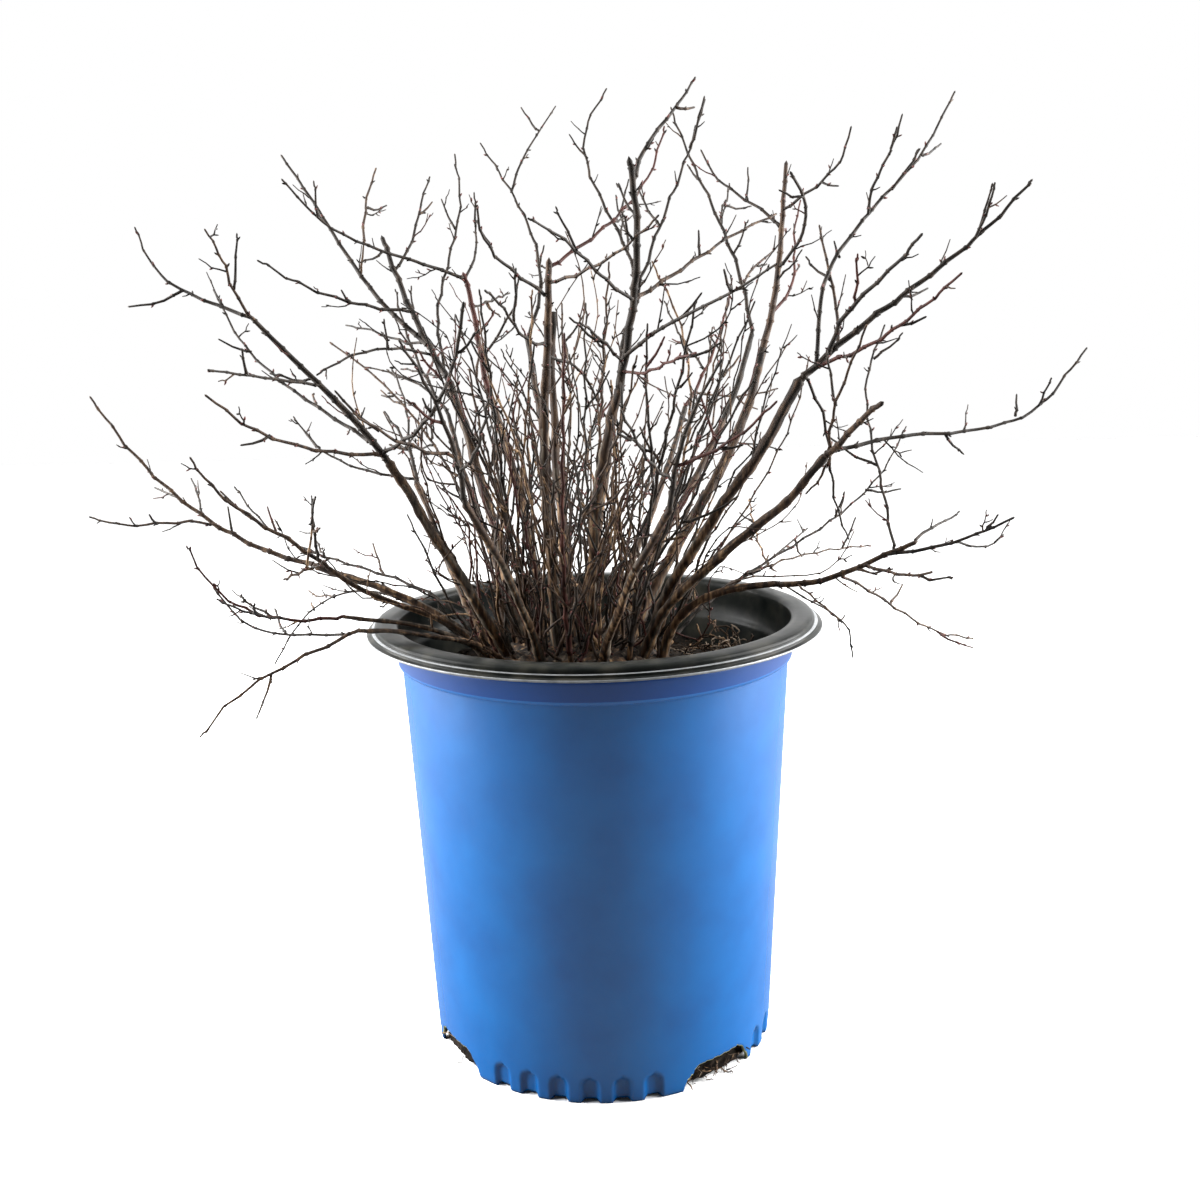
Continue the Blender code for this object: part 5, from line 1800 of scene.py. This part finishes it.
def is_clear(curve):
    """Whether a shoot ends inside the thicket's room and stays off the pot."""
    tip = curve[-1]
    level = math.hypot((tip.x - CROWN_CENTRE[0]) / THICKET_ROOM[0], tip.y / THICKET_ROOM[1])
    return level < 1 and tip.z < THICKET_TOP and all(over_pot(point) for point in curve[2:])


def thicket_shoots(rng):
    """Thin shoots that stand on the crown."""
    for _ in range(THICKET_COUNT):
        share, angle = THICKET_FOOTING * math.sqrt(rng.random()), rng.uniform(0, 2 * math.pi)
        x, y = on_crown(share, angle)
        low, high = THICKET_LENGTHS
        length = low + (high - low) * rng.random() ** THICKET_RARITY
        lean = Vector((x - CROWN_CENTRE[0], y, 0)) * rng.uniform(*THICKET_FAN)
        aim = Vector((*two_ways(rng, THICKET_LEAN), 1)) + lean
        foot = Vector((x, y, crown_height(x, y) - THICKET_SINK))
        path = limb_path(foot, foot + aim.normalized() * length, two_ways(rng, THICKET_BOW), THIN_STEPS)
        yield path, (rng.uniform(*THICKET_WIDTHS), THICKET_TIP_WIDTH)


def thread_shoots(rng):
    """Weak shoots that leave a stem anywhere along it and wander across the others."""
    stems = [plan[0] for plan in PLANS.values()]
    for _ in range(THREAD_COUNT):
        root, axis = point_at(rng.choice(stems), rng.uniform(*THREAD_ROOTS))
        aside = Vector((*two_ways(rng, 1), rng.uniform(*THREAD_RISE)))
        aim = (axis + aside * rng.uniform(*THREAD_STRAY)).normalized()
        length = rng.uniform(*THREAD_LENGTHS)
        path = limb_path(root, root + aim * length, two_ways(rng, THREAD_BOW), THIN_STEPS)
        yield path, (rng.uniform(*THREAD_WIDTHS), THREAD_TIP_WIDTH)


print("thin shoots tried:", THICKET_COUNT + THREAD_COUNT)

# %% [markdown]
# Each thin shoot that stays inside the thicket's room is grown like any other twig.

# %% Grow the thicket
THICKET_RING = 8.0
THICKET_FINE_SHARE = 0.7
THICKET_FINE_SPACING = 40.0


def make_thicket():
    rng = random.Random(77)
    store = Gatherer(TWIG_BARKS)
    buds = Gatherer(BUD_SKINS)
    for path, widths in [*thicket_shoots(rng), *thread_shoots(rng)]:
        curve = smooth_path(path, THICKET_RING)
        if is_clear(curve):
            grow_twig(store, buds, curve, taper(widths, len(curve)), SLIM_SIDES, rng)
            for fine in fine_twigs(curve, rng, THICKET_FINE_SHARE, THICKET_FINE_SPACING):
                grow_twig(store, buds, fine, taper(FINE_WIDTHS, len(fine)), FINE_SIDES, rng)
    store.make("thicket")
    buds.make("buds_thicket")


make_thicket()

# %% [markdown]
# ## Litter and roots
# Dry leaf stalks lie on the mix, and where the drain notches are open fine roots stick out. All of
# them are thin curved tubes, drawn by letting a point creep on while its heading drifts.

# %% Strew the litter
LITTER_COUNT = 130
LITTER_SPREAD = (30, 92)
LITTER_LENGTHS = (8, 38)
LITTER_STEPS = 6
LITTER_SIDES = 5
LITTER_WIDEST = 96
LITTER_LOWEST = 190
LITTER_THICKNESS = (0.15, 0.45)
LITTER_BEND = 0.06
LITTER_LIFT = (0.3, 2.4)
LITTER_FINISHES = (MIX_BROWN, MIX_PALE, BARK_TAN)
STALK_CHANCES = (5, 2, 3)


def litter_tint(rng, chances):
    return rng.choices(range(len(LITTER_FINISHES)), chances)[0]


def add_stalks(store, rng):
    for _ in range(LITTER_COUNT):
        radius, azimuth = rng.uniform(*LITTER_SPREAD), rng.uniform(0, 360)
        x, y, _ = around(radius, azimuth, 0)
        heading = rng.uniform(0, 2 * math.pi)
        length, bend = rng.uniform(*LITTER_LENGTHS), rng.uniform(-LITTER_BEND, LITTER_BEND)
        step = length / LITTER_STEPS
        path = []
        for _ in range(LITTER_STEPS + 1):
            lift = rng.uniform(*LITTER_LIFT)
            path.append(Vector((x, y, max(mix_height(x, y), LITTER_LOWEST) + lift)))
            heading += bend * step
            x += math.cos(heading) * step
            y += math.sin(heading) * step
        if widest(path) < LITTER_WIDEST:
            thick = rng.uniform(*LITTER_THICKNESS)
            tints = [litter_tint(rng, STALK_CHANCES)] * len(path)
            add_tube(store, path, [thick] * len(path), LITTER_SIDES, tints)


print("stalks tried:", LITTER_COUNT)

# %% [markdown]
# The roots in the drain notches begin at the foot of the root ball and creep outwards. The notches on
# the right have let out many, and those on the left only a few.

# %% Grow roots in the notches
ROOT_HAIRS = 24
FEW_ROOT_HAIRS = 3
ROOT_SIDEWAYS = 11
ROOT_HEIGHTS = (1.2, 9.0)
ROOT_LOWEST = 0.7
ROOT_POINTS = 5
ROOT_CREEP = (0.4, 1.9)
ROOT_TURN = (-2.2, 2.2)
ROOT_DROP = (-2.2, 1.2)
ROOT_THICKNESS = (0.16, 0.36)
ROOT_CHANCES = (6, 1, 3)


def add_notch_roots(store, rng):
    for azimuth in NOTCH_AZIMUTHS:
        on_right = around(1, azimuth, 0)[0] > 0
        for _ in range(ROOT_HAIRS if on_right else FEW_ROOT_HAIRS):
            turn = azimuth + rng.uniform(-ROOT_SIDEWAYS, ROOT_SIDEWAYS)
            height = rng.uniform(*ROOT_HEIGHTS)
            radius = PLUG_RADIUS_FOOT
            path = []
            for _ in range(ROOT_POINTS):
                path.append(Vector(around(radius, turn, max(height, ROOT_LOWEST))))
                radius += rng.uniform(*ROOT_CREEP)
                turn += rng.uniform(*ROOT_TURN)
                height += rng.uniform(*ROOT_DROP)
            thick = rng.uniform(*ROOT_THICKNESS)
            tints = [litter_tint(rng, ROOT_CHANCES)] * ROOT_POINTS
            add_tube(store, path, [thick] * ROOT_POINTS, LITTER_SIDES, tints)


print("notches:", len(NOTCH_AZIMUTHS))

# %% [markdown]
# To the right of the crown a bundle of dried roots has curled up on the mix. Each root wanders by a
# new random heading at every step, and a weak pull keeps it near the middle of the bundle.

# %% Curl the dried roots and make the litter
TUFT_MIDDLE = Vector((70.0, 8.0, 203.0))
TUFT_HALF = (10.0, 10.0, 6.0)
TUFT_ROOTS = 40
TUFT_POINTS = 10
TUFT_STEP = 2.8
TUFT_WANDER = 0.5
TUFT_PULL = 0.02
TUFT_WIDEST = 95.0
TUFT_TOP = 222.0
TUFT_SPREAD = 0.8
TUFT_LIFT = 0.6
TUFT_THICKNESS = (0.25, 0.5)
TUFT_CHANCES = (4, 2, 5)


def wander(rng, most):
    return Vector([rng.gauss(0, most) for _ in range(3)])


def add_root_tuft(store, rng):
    for _ in range(TUFT_ROOTS):
        point = TUFT_MIDDLE + Vector([rng.gauss(0, TUFT_SPREAD) * half for half in TUFT_HALF])
        heading = wander(rng, 1).normalized()
        path = []
        for _ in range(TUFT_POINTS):
            low = mix_height(point.x, point.y) + TUFT_LIFT
            path.append(Vector((point.x, point.y, min(max(point.z, low), TUFT_TOP))))
            pull = (TUFT_MIDDLE - point) * TUFT_PULL
            heading = (heading + wander(rng, TUFT_WANDER) + pull).normalized()
            point = point + heading * TUFT_STEP
        if widest(path) < TUFT_WIDEST:
            tints = [litter_tint(rng, TUFT_CHANCES)] * len(path)
            add_tube(store, path, [rng.uniform(*TUFT_THICKNESS)] * len(path), LITTER_SIDES, tints)


def make_litter():
    rng = random.Random(9)
    store = Gatherer(LITTER_FINISHES)
    add_stalks(store, rng)
    add_notch_roots(store, rng)
    add_root_tuft(store, rng)
    store.make("litter")


make_litter()

# %% [markdown]
# ## Measure and finish
# The dressed model has to stay in the measured box, so every point was held inside it as its mesh was
# made, and every piece rides on the model's root. The measured box is printed.

# %% Write the sizes and finish
print("measured box:", [[round(value / MM, 1) for value in corner] for corner in measured_box])
